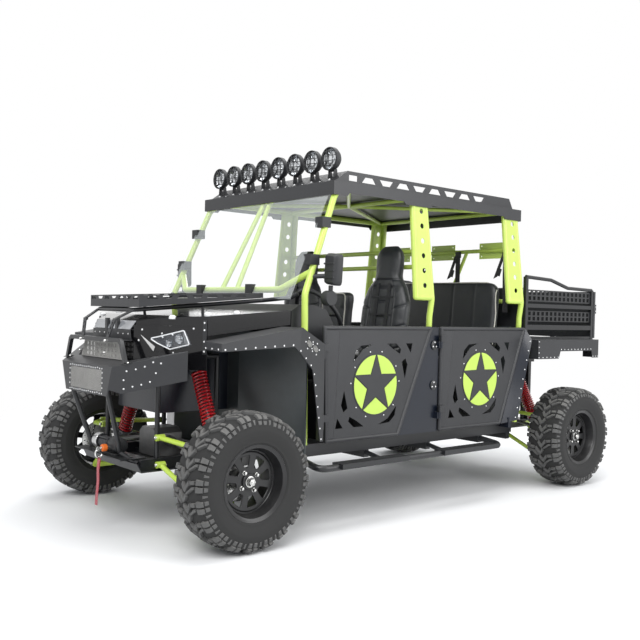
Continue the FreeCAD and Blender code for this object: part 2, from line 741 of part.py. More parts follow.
def windscreen():
    """Clear sheet ahead of the A-pillars."""
    foot_half, top_half = 672, 640
    foot_s, foot_z, top_s, top_z = 406, 1290, 696, ROOF_BOTTOM - 7
    corners = [at(-foot_half, foot_s, foot_z), at(foot_half, foot_s, foot_z), at(top_half, top_s, top_z), at(-top_half, top_s, top_z)]
    return panel(corners, -5)


def clamps():
    """Clamps that hold the clear sheet to its frame."""
    blocks = []
    frame, glass = cage_front(), windscreen()
    for share in (0.34, 0.72):
        centre = at(703, 490, 1320) * (1 - share) + at(660, 735, ROOF_BOTTOM - 5) * share
        block = Part.makeBox(66, 64, 60, centre + V(-45, -50, -30))
        blocks.append(block)
    blocks.append(Part.makeBox(56, 70, 56, at(240, 410, 1345 - 24)))
    solids = [largest(block.cut([frame, glass])) for block in blocks]
    return Part.makeCompound(solids + [mirrored(solid) for solid in solids])


def mirrors():
    frame = cage_front()
    head = box(735, 845, 585, 650, 1365, 1560)
    arm = rod(at(700, 540, 1420), at(760, 605, 1420), 14)
    lower = rod(at(725, 600, 1300), at(835, 600, 1300), 44)
    stem = rod(at(780, 610, 1300), at(780, 610, 1400), 14)
    piece = fused([head, arm, lower, stem]).cut(frame)
    return both(largest(piece))


def hood_profile(drop, inset):
    upper = [(-300 + inset, 1150 - drop), (-130, 1182 - drop), (430 - inset, 1226 - drop)]
    return upper + [(430 - inset, 1146), (-116, 1079), (-120, HOOD_LIP_Z), (-300 + inset, HOOD_LIP_Z)]


def hood_plan(inset):
    return [(-232 + inset, -300), (-330 + inset, -205), (-622 + inset, -95), (-655 + inset, 430), (655 - inset, 430), (622 - inset, -95), (330 - inset, -205), (232 - inset, -300)]


def hood():
    """Bonnet shell, open below."""
    outer = plate_x(hood_profile(0, 0), -700, 700).common(plate_z(hood_plan(0), 1000, 1300))
    lowered = [(s, z - (60 if index > 2 else 0)) for index, (s, z) in enumerate(hood_profile(8, 8))]
    inner = plate_x(lowered, -700, 700).common(plate_z(hood_plan(8), 900, 1300))
    return largest(outer.cut(inner))


def fascia_wall(z0, z1, thick):
    plan = [(-620, -95), (-330, -218), (-232, -312)]
    plan = plan + [(-x, s) for x, s in reversed(plan)]
    back = [(x * (1 - thick / 500), s + thick) for x, s in reversed(plan)]
    return plate_z(plan + back, z0, z1)


def headlamp_pocket(grow):
    """Cutter through the slanted wall of the fascia, seen from ahead."""
    outline = [(300 - grow, 1058 + grow), (350 - grow, 1020 - grow), (430, 1000 - grow), (530 + grow, 1030 - grow), (492 + grow, 1108 + grow)]
    return plate_y(outline, -330, 20)


def fascia():
    cutter = headlamp_pocket(SEAT_GAP)
    return largest(fascia_wall(900, HOOD_LIP_Z - SEAT_GAP, 10).cut([cutter, mirrored(cutter), hood()]))


def headlamps():
    lamp = fascia_wall(950, HOOD_LIP_Z - 5, 22)
    lamp.translate(V(0, -4, 0))
    return both(largest(lamp.common(headlamp_pocket(0)).cut(fascia())))


def grille():
    low = deck_z(DECK_REAR) + SEAT_GAP
    outline = [(-200, 1036), (200, 1036), (240, low), (-240, low)]
    return plate_y(outline, DECK_REAR - 8, DECK_REAR)


def bumper_section(front, inset):
    """Outline across the bumper, the inner one open downwards."""
    if front:
        s, top, foot = inset - FRONT_OVERHANG, BUMPER_TOP - inset * 0.7, BUMPER_BOTTOM - inset * 6
        half_top, half_foot = BUMPER_TOP_HALF - inset * 0.4, BUMPER_FOOT_HALF - inset * 0.4
    else:
        s, top, foot = WING_STATION + inset * 0.2, WING_TOP - inset * 0.8, WING_BOTTOM - inset * 6
        half_top = half_foot = WING_X - inset * 1.3
    return [at(-half_top, s, top), at(half_top, s, top), at(half_foot, s, foot), at(-half_foot, s, foot)]


def deck_z(station):
    """Height of the bumper's top deck."""
    slope = (WING_TOP - BUMPER_TOP) / (WING_STATION + FRONT_OVERHANG)
    return BUMPER_TOP + (station + FRONT_OVERHANG) * slope


def front_bumper():
    """Folded sheet bumper with swept wings, open below and behind."""
    t = BUMPER_SHEET
    outer = ruled(bumper_section(True, 0), bumper_section(False, 0))
    inner = ruled(bumper_section(True, t), bumper_section(False, t))
    end = WING_X - t * 2
    mouth = [(-300, DECK_REAR), (300, DECK_REAR), (end, WING_STATION + 1), (-end, WING_STATION + 1)]
    return largest(outer.cut([inner, plate_z(mouth, BUMPER_TOP - 20, WING_TOP + 20)]))


def brush_guard():
    foot = deck_z(-420) - BUMPER_SHEET + 1
    hoop = tube([at(-350, -420, foot), at(-300, -424, 1045), at(300, -424, 1045), at(350, -420, foot)], 12, 30)
    return largest(hoop.cut(front_bumper()))


def bumper_struts():
    pieces = []
    for side in (-1, 1):
        strut = rod(at(side * 222, -459, 790), at(side * 170, -345, 430), 13)
        arm = rod(at(side * 170, -345, 430), at(side * RAIL_X, -300, 385), 13)
        pieces += [strut, arm]
    tray = box(-280, 280, -400, -250, RAIL_TOP + SEAT_GAP, WINCH_BASE_Z)
    return fused(pieces + [tray]).cut([front_bumper(), main_frame(), skid_plate(), winch()])


def winch():
    z = WINCH_BASE_Z
    drum = rod(at(-80, -325, z + 50), at(50, -325, z + 50), 34)
    motor = rod(at(50, -325, z + 50), at(150, -325, z + 50), 42)
    gear = rod(at(-150, -325, z + 50), at(-80, -325, z + 50), 44)
    base = box(-150, 150, -360, -290, z, z + 12)
    return fused([drum, motor, gear, base])


def tray_side_profile(bottom_lift, top_lift):
    low = [(TRAY_FRONT, TRAY_FRONT_Z + bottom_lift), (TRAY_REAR, TRAY_REAR_Z + bottom_lift)]
    return low + [(TRAY_REAR, TRAY_REAR_Z + TRAY_DEPTH + top_lift), (TRAY_FRONT, 1289 + top_lift)]


def hood_rack():
    t = TRAY_SHEET
    plan = [(-TRAY_FRONT_HALF, TRAY_FRONT), (TRAY_FRONT_HALF, TRAY_FRONT), (TRAY_REAR_HALF, TRAY_REAR), (-TRAY_REAR_HALF, TRAY_REAR)]
    inner = [(-TRAY_FRONT_HALF + t, TRAY_FRONT + t), (TRAY_FRONT_HALF - t, TRAY_FRONT + t), (TRAY_REAR_HALF - t, TRAY_REAR - t), (-TRAY_REAR_HALF + t, TRAY_REAR - t)]
    outer = plate_x(tray_side_profile(0, 0), -500, 500).common(plate_z(plan, 1200, 1400))
    hollow = plate_x(tray_side_profile(t, 10), -500, 500).common(plate_z(inner, 1200, 1400))
    return outer.cut(hollow)


def rack_tubes():
    r = TRAY_TUBE
    slope = (TRAY_REAR_Z - TRAY_FRONT_Z) / (TRAY_REAR - TRAY_FRONT)
    drop = (r + SEAT_GAP) * math.hypot(1, slope)
    front = TRAY_FRONT_Z + 13 * slope - drop
    rear = TRAY_REAR_Z - drop
    pieces = []
    for side in (-1, 1):
        path = [at(0, -303, front), at(side * 215, -303, front), at(side * 440, TRAY_REAR, rear), at(side * 640, 447, 1300), at(side * 675, 462, 1322)]
        pieces.append(tube(path, r, 40))
        pieces.append(rod(at(side * 208, -303, front - 4), at(side * 178, -397, 1152), 9))
        pieces.append(rod(at(side * 178, -397, 1152), at(side * 150, -420, 1058), 9))
        pieces.append(Part.makeSphere(9, at(side * 178, -397, 1152)))
        pieces.append(rod(at(side * 330, 60, 1252), at(side * 330, 60, 1190), 9))
    return fused(pieces).cut([cage_front(), hood_rack(), hood(), brush_guard(), windscreen()])


def front_fenders():
    """Angular steel fenders with the leg behind the wheel."""
    t = FENDER_SHEET
    x = FENDER_X
    crown = [(-155, 1052), (361, 1136), (566, 1044), (572, 500), (542, 500), (460, 903), (309, 1032), (-155, 1011)]
    outer = plate_x(crown, 630, x)
    inner = [(-150, 1046), (361, 1130), (560, 1040), (562, 490), (500, 480), (420, 880), (290, 1000), (-150, 900)]
    hollow = plate_x(inner, 600, x - t)
    side = CAB_HALF_WIDTH + SEAT_GAP
    plan = [(640, -125), (x, -157), (x, 350), (794, 575), (side, 575), (side, 440), (668, 436)]
    skin = outer.common(plate_z(plan, 400, 1200))
    core_plan = [(620, -120), (x - t, -152), (x - t, 349), (794 - t, 570), (700, 570), (600, 430)]
    core = hollow.common(plate_z(core_plan, 400, 1200))
    return both(fused([largest(skin.cut(core))] + hinge_barrels(FRONT_HINGE_STATION, FRONT_HINGES, False)))


def rear_quarter():
    t = 5
    piece = ruled(
        [at(745, 2499, 1140), at(745, 2248, 478), at(740, 2248, 478), at(740, 2499, 1140)],
        [at(800, 2508, 1060), at(792, 2372, 500), at(787, 2372, 500), at(795, 2508, 1060)],
    )
    stay = box(SILL_X + SILL_WIDTH / 2 - 1, 769, 2300, 2330, 450, 520)
    return largest(fused([piece, stay]).cut([cage_rear(), main_frame()]))


def hinge_barrels(station, heights, on_door):
    """Hinge barrels with their leaves, the door's standing on the body's."""
    pieces = []
    for z in heights:
        low = z + HINGE_HEIGHT + SEAT_GAP if on_door else z
        pieces.append(Part.makeCylinder(HINGE_RADIUS, HINGE_HEIGHT, at(HINGE_X, station, low)))
        if on_door:
            pieces.append(box(HINGE_X - 17, HINGE_X - 7, station, station + 52, low, low + HINGE_HEIGHT))
            pieces.append(box(HINGE_X - 14, HINGE_X, station - 2, station + 2, low, low + HINGE_HEIGHT))
        else:
            pieces.append(box(HINGE_X - 30, HINGE_X, station - 22, station - 4, low, low + HINGE_HEIGHT))
            pieces.append(box(HINGE_X - 3, HINGE_X + 3, station - 12, station, low, low + HINGE_HEIGHT))
    return pieces


def door_outline(front):
    if front:
        return [(FRONT_DOOR_FRONT_TOP, DOOR_TOP), (FRONT_DOOR_REAR_TOP, DOOR_TOP), (FRONT_DOOR_REAR_FOOT, DOOR_BOTTOM), (FRONT_DOOR_FRONT_FOOT, DOOR_BOTTOM)]
    return [(REAR_DOOR_FRONT, DOOR_TOP), (REAR_DOOR_REAR_TOP, DOOR_TOP), (REAR_DOOR_REAR_FOOT, DOOR_BOTTOM), (REAR_DOOR_FRONT, DOOR_BOTTOM)]


def door(front):
    """Left door: a tube frame round a sheet panel with its star disc."""
    outline = door_outline(front)
    middle = DOOR_X + DOOR_THICK / 2
    centre_s = sum(s for s, z in outline) / 4
    centre_z = sum(z for s, z in outline) / 4
    inset = []
    for s, z in outline:
        inset.append((s + DOOR_TUBE * (1 if s < centre_s else -1), z + DOOR_TUBE * (1 if z < centre_z else -1)))
    sheet_plate = plate_x(inset, middle - DOOR_PANEL / 2, middle + DOOR_PANEL / 2)
    pieces = [sheet_plate]
    corners = [at(middle, s, z) for s, z in inset]
    for a, b in zip(corners, corners[1:] + corners[:1]):
        pieces.append(rod(a, b, DOOR_TUBE))
        pieces.append(Part.makeSphere(DOOR_TUBE, a))
    station = FRONT_DISC_STATION if front else REAR_DISC_STATION
    disc = disc_x(at(0, station, STAR_DISC_Z), STAR_DISC_RADIUS, middle, middle + 5)
    if front:
        hinges = hinge_barrels(FRONT_HINGE_STATION, FRONT_HINGES, True)
    else:
        hinges = hinge_barrels(REAR_HINGE_STATION, REAR_HINGES, True)
    return fused(pieces + [disc] + hinges)


def door_post():
    """Side panels between the front and rear doors, with the latch posts."""
    gap = PANEL_GAP
    outline = [
        (FRONT_DOOR_REAR_TOP + gap, DOOR_TOP - 5),
        (REAR_DOOR_FRONT - gap, DOOR_TOP - 5),
        (REAR_DOOR_FRONT - gap, DOOR_BOTTOM),
        (FRONT_DOOR_REAR_FOOT + gap, DOOR_BOTTOM),
    ]
    piece = largest(plate_x(outline, 708, 742).cut([cage_middle(), main_frame()]))
    return fused([piece] + hinge_barrels(REAR_HINGE_STATION, REAR_HINGES, False))


def side_steps():
    r = STEP_TUBE
    ends = at(680, 515, RAIL_TOP - 22), at(680, 2095, RAIL_TOP - 22)
    pieces = [tube([ends[0], at(STEP_X, 505, STEP_Z), at(STEP_X, 2120, STEP_Z), ends[1]], r, 50)]
    for s0, s1 in ((640, 1180), (1500, 2040)):
        pieces.append(box(STEP_X - 50, STEP_X + 40, s0, s1, STEP_Z - 8, STEP_Z + 21))
    for station in (1010, 1560):
        pieces.append(rod(at(690, station, RAIL_TOP - 20), at(STEP_X, station, STEP_Z), 14))
    return both(largest(fused(pieces).cut(main_frame())))


def seat_bucket(x):
    cushion = box(x - 235, x + 235, 935, 1330, SEAT_BOX_TOP + SEAT_GAP, SEAT_BOX_TOP + 140)
    outline = [(1270, SEAT_BOX_TOP + 4), (1415, SEAT_BOX_TOP + 4), (1492, 1420), (1490, 1660), (1440, 1685), (1395, 1640), (1370, 1420)]
    back = plate_x(outline, x - 235, x + 235)
    silhouette = [(x - 235, 700), (x - 240, 1300), (x - 190, 1420), (x - 130, 1450), (x - 130, 1620), (x - 90, 1684), (x + 90, 1684), (x + 130, 1620), (x + 130, 1450), (x + 190, 1420), (x + 235, 1300), (x + 235, 700)]
    return fused([cushion, back.common(plate_y(silhouette, 900, 1600))])


def seat_middle():
    cushion = box(-205, 205, 960, 1330, SEAT_BOX_TOP + SEAT_GAP, SEAT_BOX_TOP + 130)
    outline = [(1290, SEAT_BOX_TOP + 4), (1400, SEAT_BOX_TOP + 4), (1440, 1385), (1350, 1385)]
    return fused([cushion, plate_x(outline, -150, 150)])


def bench_rear():
    cushion = box(-620, 620, 1890, 2290, SEAT_BOX_TOP + SEAT_GAP, SEAT_BOX_TOP + 140)
    outline = [(2220, SEAT_BOX_TOP + 4), (2375, SEAT_BOX_TOP + 4), (2415, 1495), (2330, 1495)]
    return fused([cushion, plate_x(outline, -640, 640)])


def seat_belts():
    belts = []
    for x in (180, 620):
        belts.append(box(x - 24, x + 24, 2421.7, 2424.7, 1240, 1702))
    return Part.makeCompound(belts + [mirrored(belt) for belt in belts])


def bed_tub():
    """Bed floor on its beams, with wheel-arch shelves and a front wall."""
    t = BED_SHEET
    z = BED_FLOOR_Z
    floor = box(-SHELF_HALF_WIDTH, SHELF_HALF_WIDTH, BED_FRONT, BED_REAR - 105, z - t, z)
    tail = box(-BED_HALF_WIDTH, BED_HALF_WIDTH, BED_REAR - 106, BED_REAR, z - t, z)
    front = box(-BED_HALF_WIDTH + 32, BED_HALF_WIDTH - 32, BED_FRONT, BED_FRONT + t, z - t, 1430)
    arch = [(BED_FRONT, z), (BED_REAR - 105, z), (BED_REAR - 105, SHELF_BOTTOM), (3215, SHELF_BOTTOM), (3200, 978), (2790, 978), (2770, SHELF_BOTTOM), (BED_FRONT, SHELF_BOTTOM)]
    pieces = [floor, tail, front]
    for side in (-1, 1):
        x = side * SHELF_HALF_WIDTH
        pieces.append(plate_x(arch, x, x - side * t))
        a, b = sorted((side * 720, x))
        pieces.append(box(a, b, BED_FRONT, BED_FRONT + t, SHELF_BOTTOM, z))
        pieces.append(box(a, b, BED_REAR - 111, BED_REAR - 105, SHELF_BOTTOM, z))
        a, b = sorted((side * BEAM_X, side * (BEAM_X + BEAM_WIDTH)))
        pieces.append(box(a, b, BED_FRONT + 20, BED_REAR - 20, BED_RAIL_TOP + SEAT_GAP, z))
    pin = rod(bed_pivot(-BEAM_X - BEAM_WIDTH), bed_pivot(BEAM_X + BEAM_WIDTH), PIN_RADIUS)
    for side in (-1, 1):
        a, b = sorted((side * (TAIL_HINGE_END - 40), side * TAIL_HINGE_END))
        pieces.append(rod(tailgate_pivot(a), tailgate_pivot(b), HINGE_RADIUS))
        pieces.append(box(a, b, BED_REAR - 10, BED_REAR + 14, z - t - 4, z - t + 2))
    return fused(pieces + [pin])


def bed_racks():
    """Side racks: posts, a stepped top tube and perforated strips."""
    x = BED_HALF_WIDTH - 15
    z = BED_FLOOR_Z
    first, last = BED_FRONT + 15, BED_REAR - 15
    top = [at(x, first, 1510), at(x, 2840, 1498), at(x, 3060, 1446), at(x, last, 1440)]
    pieces = [tube(top, 13, 60)]
    for station, height in ((first, 1510), (last, 1440)):
        pieces.append(box(x - 13, x + 13, station - 13, station + 13, z, height))
    for z0, z1, thick in ((1335, 1420, 3), (1290, 1318, 12), (1190, 1268, 3), (1130, 1165, 12), (z, 1080, 10)):
        pieces.append(box(x - thick, x + thick, first, last, z0, z1))
    return both(fused(pieces))


def tailgate_pivot(x):
    return at(x, BED_REAR + 14, BED_FLOOR_Z - 8)


def tailgate():
    s0 = BED_REAR + 2
    half = BED_HALF_WIDTH
    z0 = BED_FLOOR_Z + 6
    barrels = []
    plate = box(-half, half, s0 + 8, s0 + 14, z0, TAILGATE_TOP - 20)
    frame = box(-half, half, s0, s0 + TAILGATE_THICK, z0, TAILGATE_TOP - 10).cut(box(-half + 40, half - 40, s0 - 1, s0 + 60, z0 + 40, TAILGATE_TOP - 50))
    for side in (-1, 1):
        a, b = sorted((side * (TAIL_HINGE_END + SEAT_GAP), side * (TAIL_HINGE_END + 40)))
        pivot = tailgate_pivot(0)
        barrels.append(rod(tailgate_pivot(a), tailgate_pivot(b), HINGE_RADIUS))
        barrels.append(Part.makeBox(b - a, 8, 16, V(a, pivot.y - 4, pivot.z)))
    latch = box(half - 60, half, s0 + TAILGATE_THICK - 2, REAR_AXLE + REAR_OVERHANG, 1260, 1330)
    return fused([plate, frame, latch, mirrored(latch)] + barrels)


def bed_carrier():
    """Rails under the bed, with the lugs of its pivot."""
    top = BED_RAIL_TOP
    pieces = []
    for side in (-1, 1):
        a, b = sorted((side * BEAM_X, side * (BEAM_X + BEAM_WIDTH)))
        pieces.append(box(a, b, BED_FRONT + 20, BED_PIVOT_STATION - 30, top - BED_RAIL_HEIGHT, top))
        a, b = sorted((side * (BEAM_X - 6), side * (BEAM_X - 18)))
        pieces.append(box(a, b, BED_PIVOT_STATION - 90, BED_PIVOT_STATION + 30, top - 40, top + 50))
        a, b = sorted((side * (BEAM_X - 18), side * BEAM_X))
        pieces.append(box(a, b, BED_PIVOT_STATION - 90, BED_PIVOT_STATION - 40, top - 40, top - 10))
        x = side * (RAIL_X + 15)
        for station in (BED_FRONT + 30, BED_POST_STATION):
            pieces.append(box(x - 20, x + 20, station, station + 33, RAIL_TOP - 5, top - BED_RAIL_HEIGHT + 1))
    bore = rod(bed_pivot(-BEAM_X), bed_pivot(BEAM_X), PIN_RADIUS + RUNNING_GAP)
    return fused(pieces).cut(bore).Solids


def bed_pivot(x):
    return at(x, BED_PIVOT_STATION, BED_RAIL_TOP + 25)


def hitch():
    """Square receiver below the rear cross member."""
    rear = REAR_AXLE + 250
    body = box(-32, 32, rear - 50, rear + 110, RAIL_Z - 65, RAIL_Z + 1)
    return body.cut(box(-25.4, 25.4, rear - 20, rear + 120, RAIL_Z - 58.4, RAIL_Z - 7.6))


def frame_weldment():
    """Ladder frame with both towers, the bed carrier and the receiver."""
    pieces = [main_frame(), hitch(), rack_housing()] + tower(0) + tower(REAR_AXLE) + bed_carrier()
    stay = box(-60, 60, RACK_STATION - 20, RACK_STATION + 20, RAIL_TOP - 20, WHEEL_Z + RACK_RISE - 20)
    cross = box(-RAIL_X, RAIL_X, RACK_STATION - 20, RACK_STATION + 20, RAIL_Z, RAIL_TOP - 18)
    saddles = [box(-RAIL_X, RAIL_X, axle - 20, axle + 20, RAIL_Z, DRIVE_OUTPUT_Z - DRIVE_DEPTH - SEAT_GAP) for axle in (0, REAR_AXLE)]
    return fused(pieces + [stay, cross] + saddles)


def engine_block():
    inner = RAIL_X - RAIL_WIDTH / 2
    mounts = [box(-inner, inner, s, s + 40, RAIL_TOP - 29, RAIL_TOP - 5) for s in (2530, 2730)]
    return fused([box(-235, 235, 2500, 2800, RAIL_TOP - 30, 840)] + mounts)


def exhaust():
    muffler = rod(at(-150, 3060, 640), at(-150, 3330, 640), 75)
    post = RAIL_X - 5
    return fused([muffler, box(-post, -200, BED_POST_STATION + 5, BED_POST_STATION + 20, 600, 680)])


def wheel_nodes(nodes):
    """Tyres, wheels and uprights at the four corners."""
    tyre_solid = tyre()
    wheel_solid = fused([rim(), hub()])
    for axle_name, front in (("front", True), ("rear", False)):
        upright = knuckle(front)
        for side_name, side in (("left", 1), ("right", -1)):
            centre = wheel_centre(front, side)
            tag = axle_name + "_" + side_name
            nodes["tyre_" + tag] = placed(tyre_solid, centre, side)
            nodes["wheel_" + tag] = placed(wheel_solid, centre, side)
            if front:
                nodes["knuckle_" + side_name] = placed(upright, centre, side)
    nodes["uprights_rear"] = both(placed(upright, wheel_centre(False, 1), 1))


def suspension_nodes(nodes):
    """Arms, shocks, springs and drive units of both axles."""
    shocks, springs, drives = [], [], []
    for name, axle in (("front", 0), ("rear", REAR_AXLE)):
        arms = [lower_arm(axle), upper_arm(axle)]
        nodes["arms_" + name] = Part.makeCompound(arms + [mirrored(arm) for arm in arms])
        shocks += [shock(axle), mirrored(shock(axle))]
        springs += [spring(axle), mirrored(spring(axle))]
        drives.append(drive_unit(axle))
    nodes["shocks"] = Part.makeCompound(shocks)
    nodes["springs"] = Part.makeCompound(springs)
    nodes["drive_units"] = Part.makeCompound(drives)


def build():
    os.makedirs("parts", exist_ok=True)
    nodes = {}
    wheel_nodes(nodes)
    suspension_nodes(nodes)
    panels = [door_post(), rear_quarter()]
    nodes.update(
        steering_rack=steering_rack(),
        steering_wheel=steering_wheel(),
        main_frame=frame_weldment(),
        skid_plate=skid_plate(),
        floor_pan=floor_pan(),
        seat_boxes=seat_boxes(),
        dash=dash(),
        engine_block=engine_block(),
        exhaust=exhaust(),
        cage_front=cage_front(),
        cage_middle=cage_middle(),
        cage_rear=cage_rear(),
        cage_roof=cage_roof(),
        headrest_plates=headrest_plates(),
        roof_panel=roof_panel(),
        roof_lamps=roof_lamps(),
        windscreen=windscreen(),
        clamps=clamps(),
        mirrors=mirrors(),
        hood=hood(),
        fascia=fascia(),
        headlamps=headlamps(),
        grille=grille(),
        front_bumper=front_bumper(),
        brush_guard=brush_guard(),
        bumper_struts=bumper_struts(),
        winch=winch(),
        hood_rack=hood_rack(),
        rack_tubes=rack_tubes(),
        front_fenders=front_fenders(),
        side_panels=Part.makeCompound(panels + [mirrored(panel) for panel in panels]),
        side_steps=side_steps(),
        seats_front=Part.makeCompound([seat_bucket(430), seat_bucket(-430), seat_middle()]),
        bench_rear=bench_rear(),
        seat_belts=seat_belts(),
        bed_tub=bed_tub(),
        bed_racks=bed_racks(),
        tailgate=tailgate(),
    )
    for tag, front in (("front", True), ("rear", False)):
        solid = door(front)
        nodes["door_" + tag + "_left"] = solid
        nodes["door_" + tag + "_right"] = mirrored(solid)
    for name, shape in nodes.items():
        shape.exportStep("parts/" + name + ".step")
        print(name, len(shape.Solids), shape.isValid(), round(shape.Volume / 1e6, 2))
    print(len(nodes), "nodes")


build()
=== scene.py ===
"""A four-seat side by side utility vehicle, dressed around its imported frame.

Lengths are written in millimetres, as in the part's source; at() sets a point
by its x, its station behind the front axle and its height, and gives metres.
"""

import logging
from dataclasses import dataclass, field
from enum import Enum
from math import copysign, cos, exp, hypot, pi, radians, sin, sqrt, tan, tau
from typing import Callable, Iterable, Sequence

import bmesh
import bpy
from bpy.types import ID, Material, Mesh, Node, NodeSocket, NodeTree, Object
from mathutils import Matrix, Vector
from mathutils.geometry import tessellate_polygon


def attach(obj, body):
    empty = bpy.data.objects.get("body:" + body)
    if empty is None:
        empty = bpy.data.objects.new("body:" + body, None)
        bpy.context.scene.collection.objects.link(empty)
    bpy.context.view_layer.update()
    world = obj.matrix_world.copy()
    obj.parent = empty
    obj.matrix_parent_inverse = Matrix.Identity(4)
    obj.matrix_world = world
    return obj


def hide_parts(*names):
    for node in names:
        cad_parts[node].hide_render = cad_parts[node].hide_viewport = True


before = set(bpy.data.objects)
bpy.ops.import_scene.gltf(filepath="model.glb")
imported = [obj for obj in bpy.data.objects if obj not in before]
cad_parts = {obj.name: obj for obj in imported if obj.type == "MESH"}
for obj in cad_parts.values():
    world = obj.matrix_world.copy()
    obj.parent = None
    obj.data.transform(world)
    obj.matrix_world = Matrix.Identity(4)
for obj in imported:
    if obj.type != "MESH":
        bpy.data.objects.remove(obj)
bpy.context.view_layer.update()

LOG = logging.getLogger("side_by_side")

Pair = tuple[float, float]
Loop = list[Pair]
Outline = Sequence[Pair]
Points = Sequence[Vector]
Colour = tuple[float, float, float]

MM = 0.001
FRONT_AXLE_Y = -1482.5
REAR_AXLE = 2932
SHARP_ANGLE = radians(32)
WELD = 1e-6
LEFT = Vector((1, 0, 0))
REAR = Vector((0, 1, 0))
UP = Vector((0, 0, 1))
FRONT = -REAR


def at(x: float, station: float, z: float) -> Vector:
    """Point of the vehicle's frame in metres from millimetres."""
    return Vector((x, FRONT_AXLE_Y + station, z)) * MM


def mm(x: float, y: float, z: float) -> Vector:
    """Vector in metres from millimetres."""
    return Vector((x, y, z)) * MM


def mirror_x(point: Vector) -> Vector:
    """The point's twin on the other side of the vehicle."""
    return Vector((-point.x, point.y, point.z))


def ring_points(radius: float, steps: int, start: float = 0.0) -> Loop:
    """Points of a circle about the origin.

    Args:
        radius: Circle's radius.
        steps: Number of points.
        start: Angle of the first point in degrees.

    Returns:
        Points in the circle's plane.
    """
    turn = tau / steps
    first = radians(start)
    angles = [first + turn * i for i in range(steps)]
    return [(radius * cos(angle), radius * sin(angle)) for angle in angles]


def circle(centre: Vector, u: Vector, v: Vector, radius: float, steps: int) -> list[Vector]:
    """Circle about a point in the plane of two directions, its radius in millimetres."""
    return [centre + (u * x + v * y) * MM for x, y in ring_points(radius, steps)]


def shifted(loop: Outline, dx: float, dy: float) -> Loop:
    """The loop moved in its plane."""
    return [(x + dx, y + dy) for x, y in loop]


def area_of(loop: Outline) -> float:
    """Signed area of a loop, above zero when it runs counter-clockwise."""
    total = 0
    for (x0, y0), (x1, y1) in zip(loop, list(loop[1:]) + [loop[0]]):
        total += x0 * y1 - x1 * y0
    return total / 2


def inset_loop(loop: Outline, depth: float) -> Loop:
    """The loop moved inwards by a depth, or outwards where it is below zero.

    Args:
        loop: Corners of a closed outline.
        depth: Distance between the old sides and the new ones.

    Returns:
        As many corners as the loop has.
    """
    sign = 1 if area_of(loop) > 0 else -1
    points = [Vector(p) for p in loop]
    moved = []
    for i, here in enumerate(points):
        before, after = points[i - 1], points[(i + 1) % len(points)]
        a = (here - before).normalized()
        b = (after - here).normalized()
        normal_a = Vector((-a.y, a.x)) * sign
        normal_b = Vector((-b.y, b.x)) * sign
        bisector = normal_a + normal_b
        if bisector.length < 1e-6:
            bisector = normal_a
        bisector.normalize()
        reach = depth / max(0.35, bisector.dot(normal_a))
        moved.append(tuple(here + bisector * reach))
    return moved


def rounded(loop: Outline, radius: float, steps: int = 4) -> Loop:
    """The loop with its corners rounded.

    Args:
        loop: Corners of a closed outline.
        radius: Radius of each corner, less where a side is short.
        steps: Straight pieces in each corner.

    Returns:
        The new outline.
    """
    out: Loop = []
    points = [Vector(p) for p in loop]
    for i, here in enumerate(points):
        before, after = points[i - 1], points[(i + 1) % len(points)]
        a, b = before - here, after - here
        half = a.angle(b) / 2
        reach = min(radius / tan(half), a.length * 0.48, b.length * 0.48)
        first, last = here + a.normalized() * reach, here + b.normalized() * reach
        for step in range(steps + 1):
            share = step / steps
            low, high = first.lerp(here, share), here.lerp(last, share)
            out.append(tuple(low.lerp(high, share)))
    return out


def bent_path(points: Points, bend: float, steps: int = 6) -> list[Vector]:
    """Runs joined by arcs.

    Args:
        points: Corners of the path in metres.
        bend: Radius of each corner in metres.
        steps: Straight pieces in each corner.

    Returns:
        Points of the smooth path.
    """
    path = [points[0]]
    for before, here, after in zip(points, points[1:], points[2:]):
        a, b = before - here, after - here
        half = a.angle(b) / 2
        if half > 1.55:
            path.append(here)
            continue
        reach = min(bend / tan(half), a.length * 0.45, b.length * 0.45)
        first, last = here + a.normalized() * reach, here + b.normalized() * reach
        for step in range(steps + 1):
            share = step / steps
            path.append(first.lerp(here, share).lerp(here.lerp(last, share), share))
    path.append(points[-1])
    return path


def spaced(corners: Points, pitch: float, margin: float = 0.0) -> list[Vector]:
    """Points at even steps along straight runs.

    Args:
        corners: Corners of the runs in metres.
        pitch: Rough step in millimetres.
        margin: Length left free at both ends in millimetres.

    Returns:
        The points, the first and the last at the margin.
    """
    runs = [(b - a).length for a, b in zip(corners, corners[1:])]
    total = sum(runs) - 2 * margin * MM
    count = max(1, round(total / (pitch * MM)))
    points = []
    for i in range(count + 1):
        left = margin * MM + total * i / count
        for index, run in enumerate(runs):
            if left <= run + 1e-9 or index == len(runs) - 1:
                points.append(corners[index].lerp(corners[index + 1], min(1, left / run)))
                break
            left -= run
    return points


def basis(direction: Vector) -> tuple[Vector, Vector, Vector]:
    """Three right-angled unit vectors, the last along the direction."""
    w = direction.normalized()
    guide = UP
    if abs(w.z) > 0.96:
        guide = REAR if abs(w.y) < 0.9 else LEFT
    u = guide.cross(w).normalized()
    return u, w.cross(u), w


def smoothen(mesh: Mesh, angle: float = SHARP_ANGLE) -> None:
    """Smooths a mesh, apart from edges that turn more than an angle."""
    mesh.shade_smooth()
    mesh.set_sharp_from_angle(angle=angle)


def shown(name: str, data: ID) -> Object:
    """New object of the scene with that data."""
    thing = bpy.data.objects.new(name, data)
    bpy.context.scene.collection.objects.link(thing)
    return thing


def add_bevel(thing: Object, width: float) -> None:
    """Bevels an object's sharp edges by a width in millimetres."""
    edge = thing.modifiers.new("edge", "BEVEL")
    edge.width = width * MM
    edge.segments = 2
    edge.limit_method = "ANGLE"
    edge.angle_limit = SHARP_ANGLE


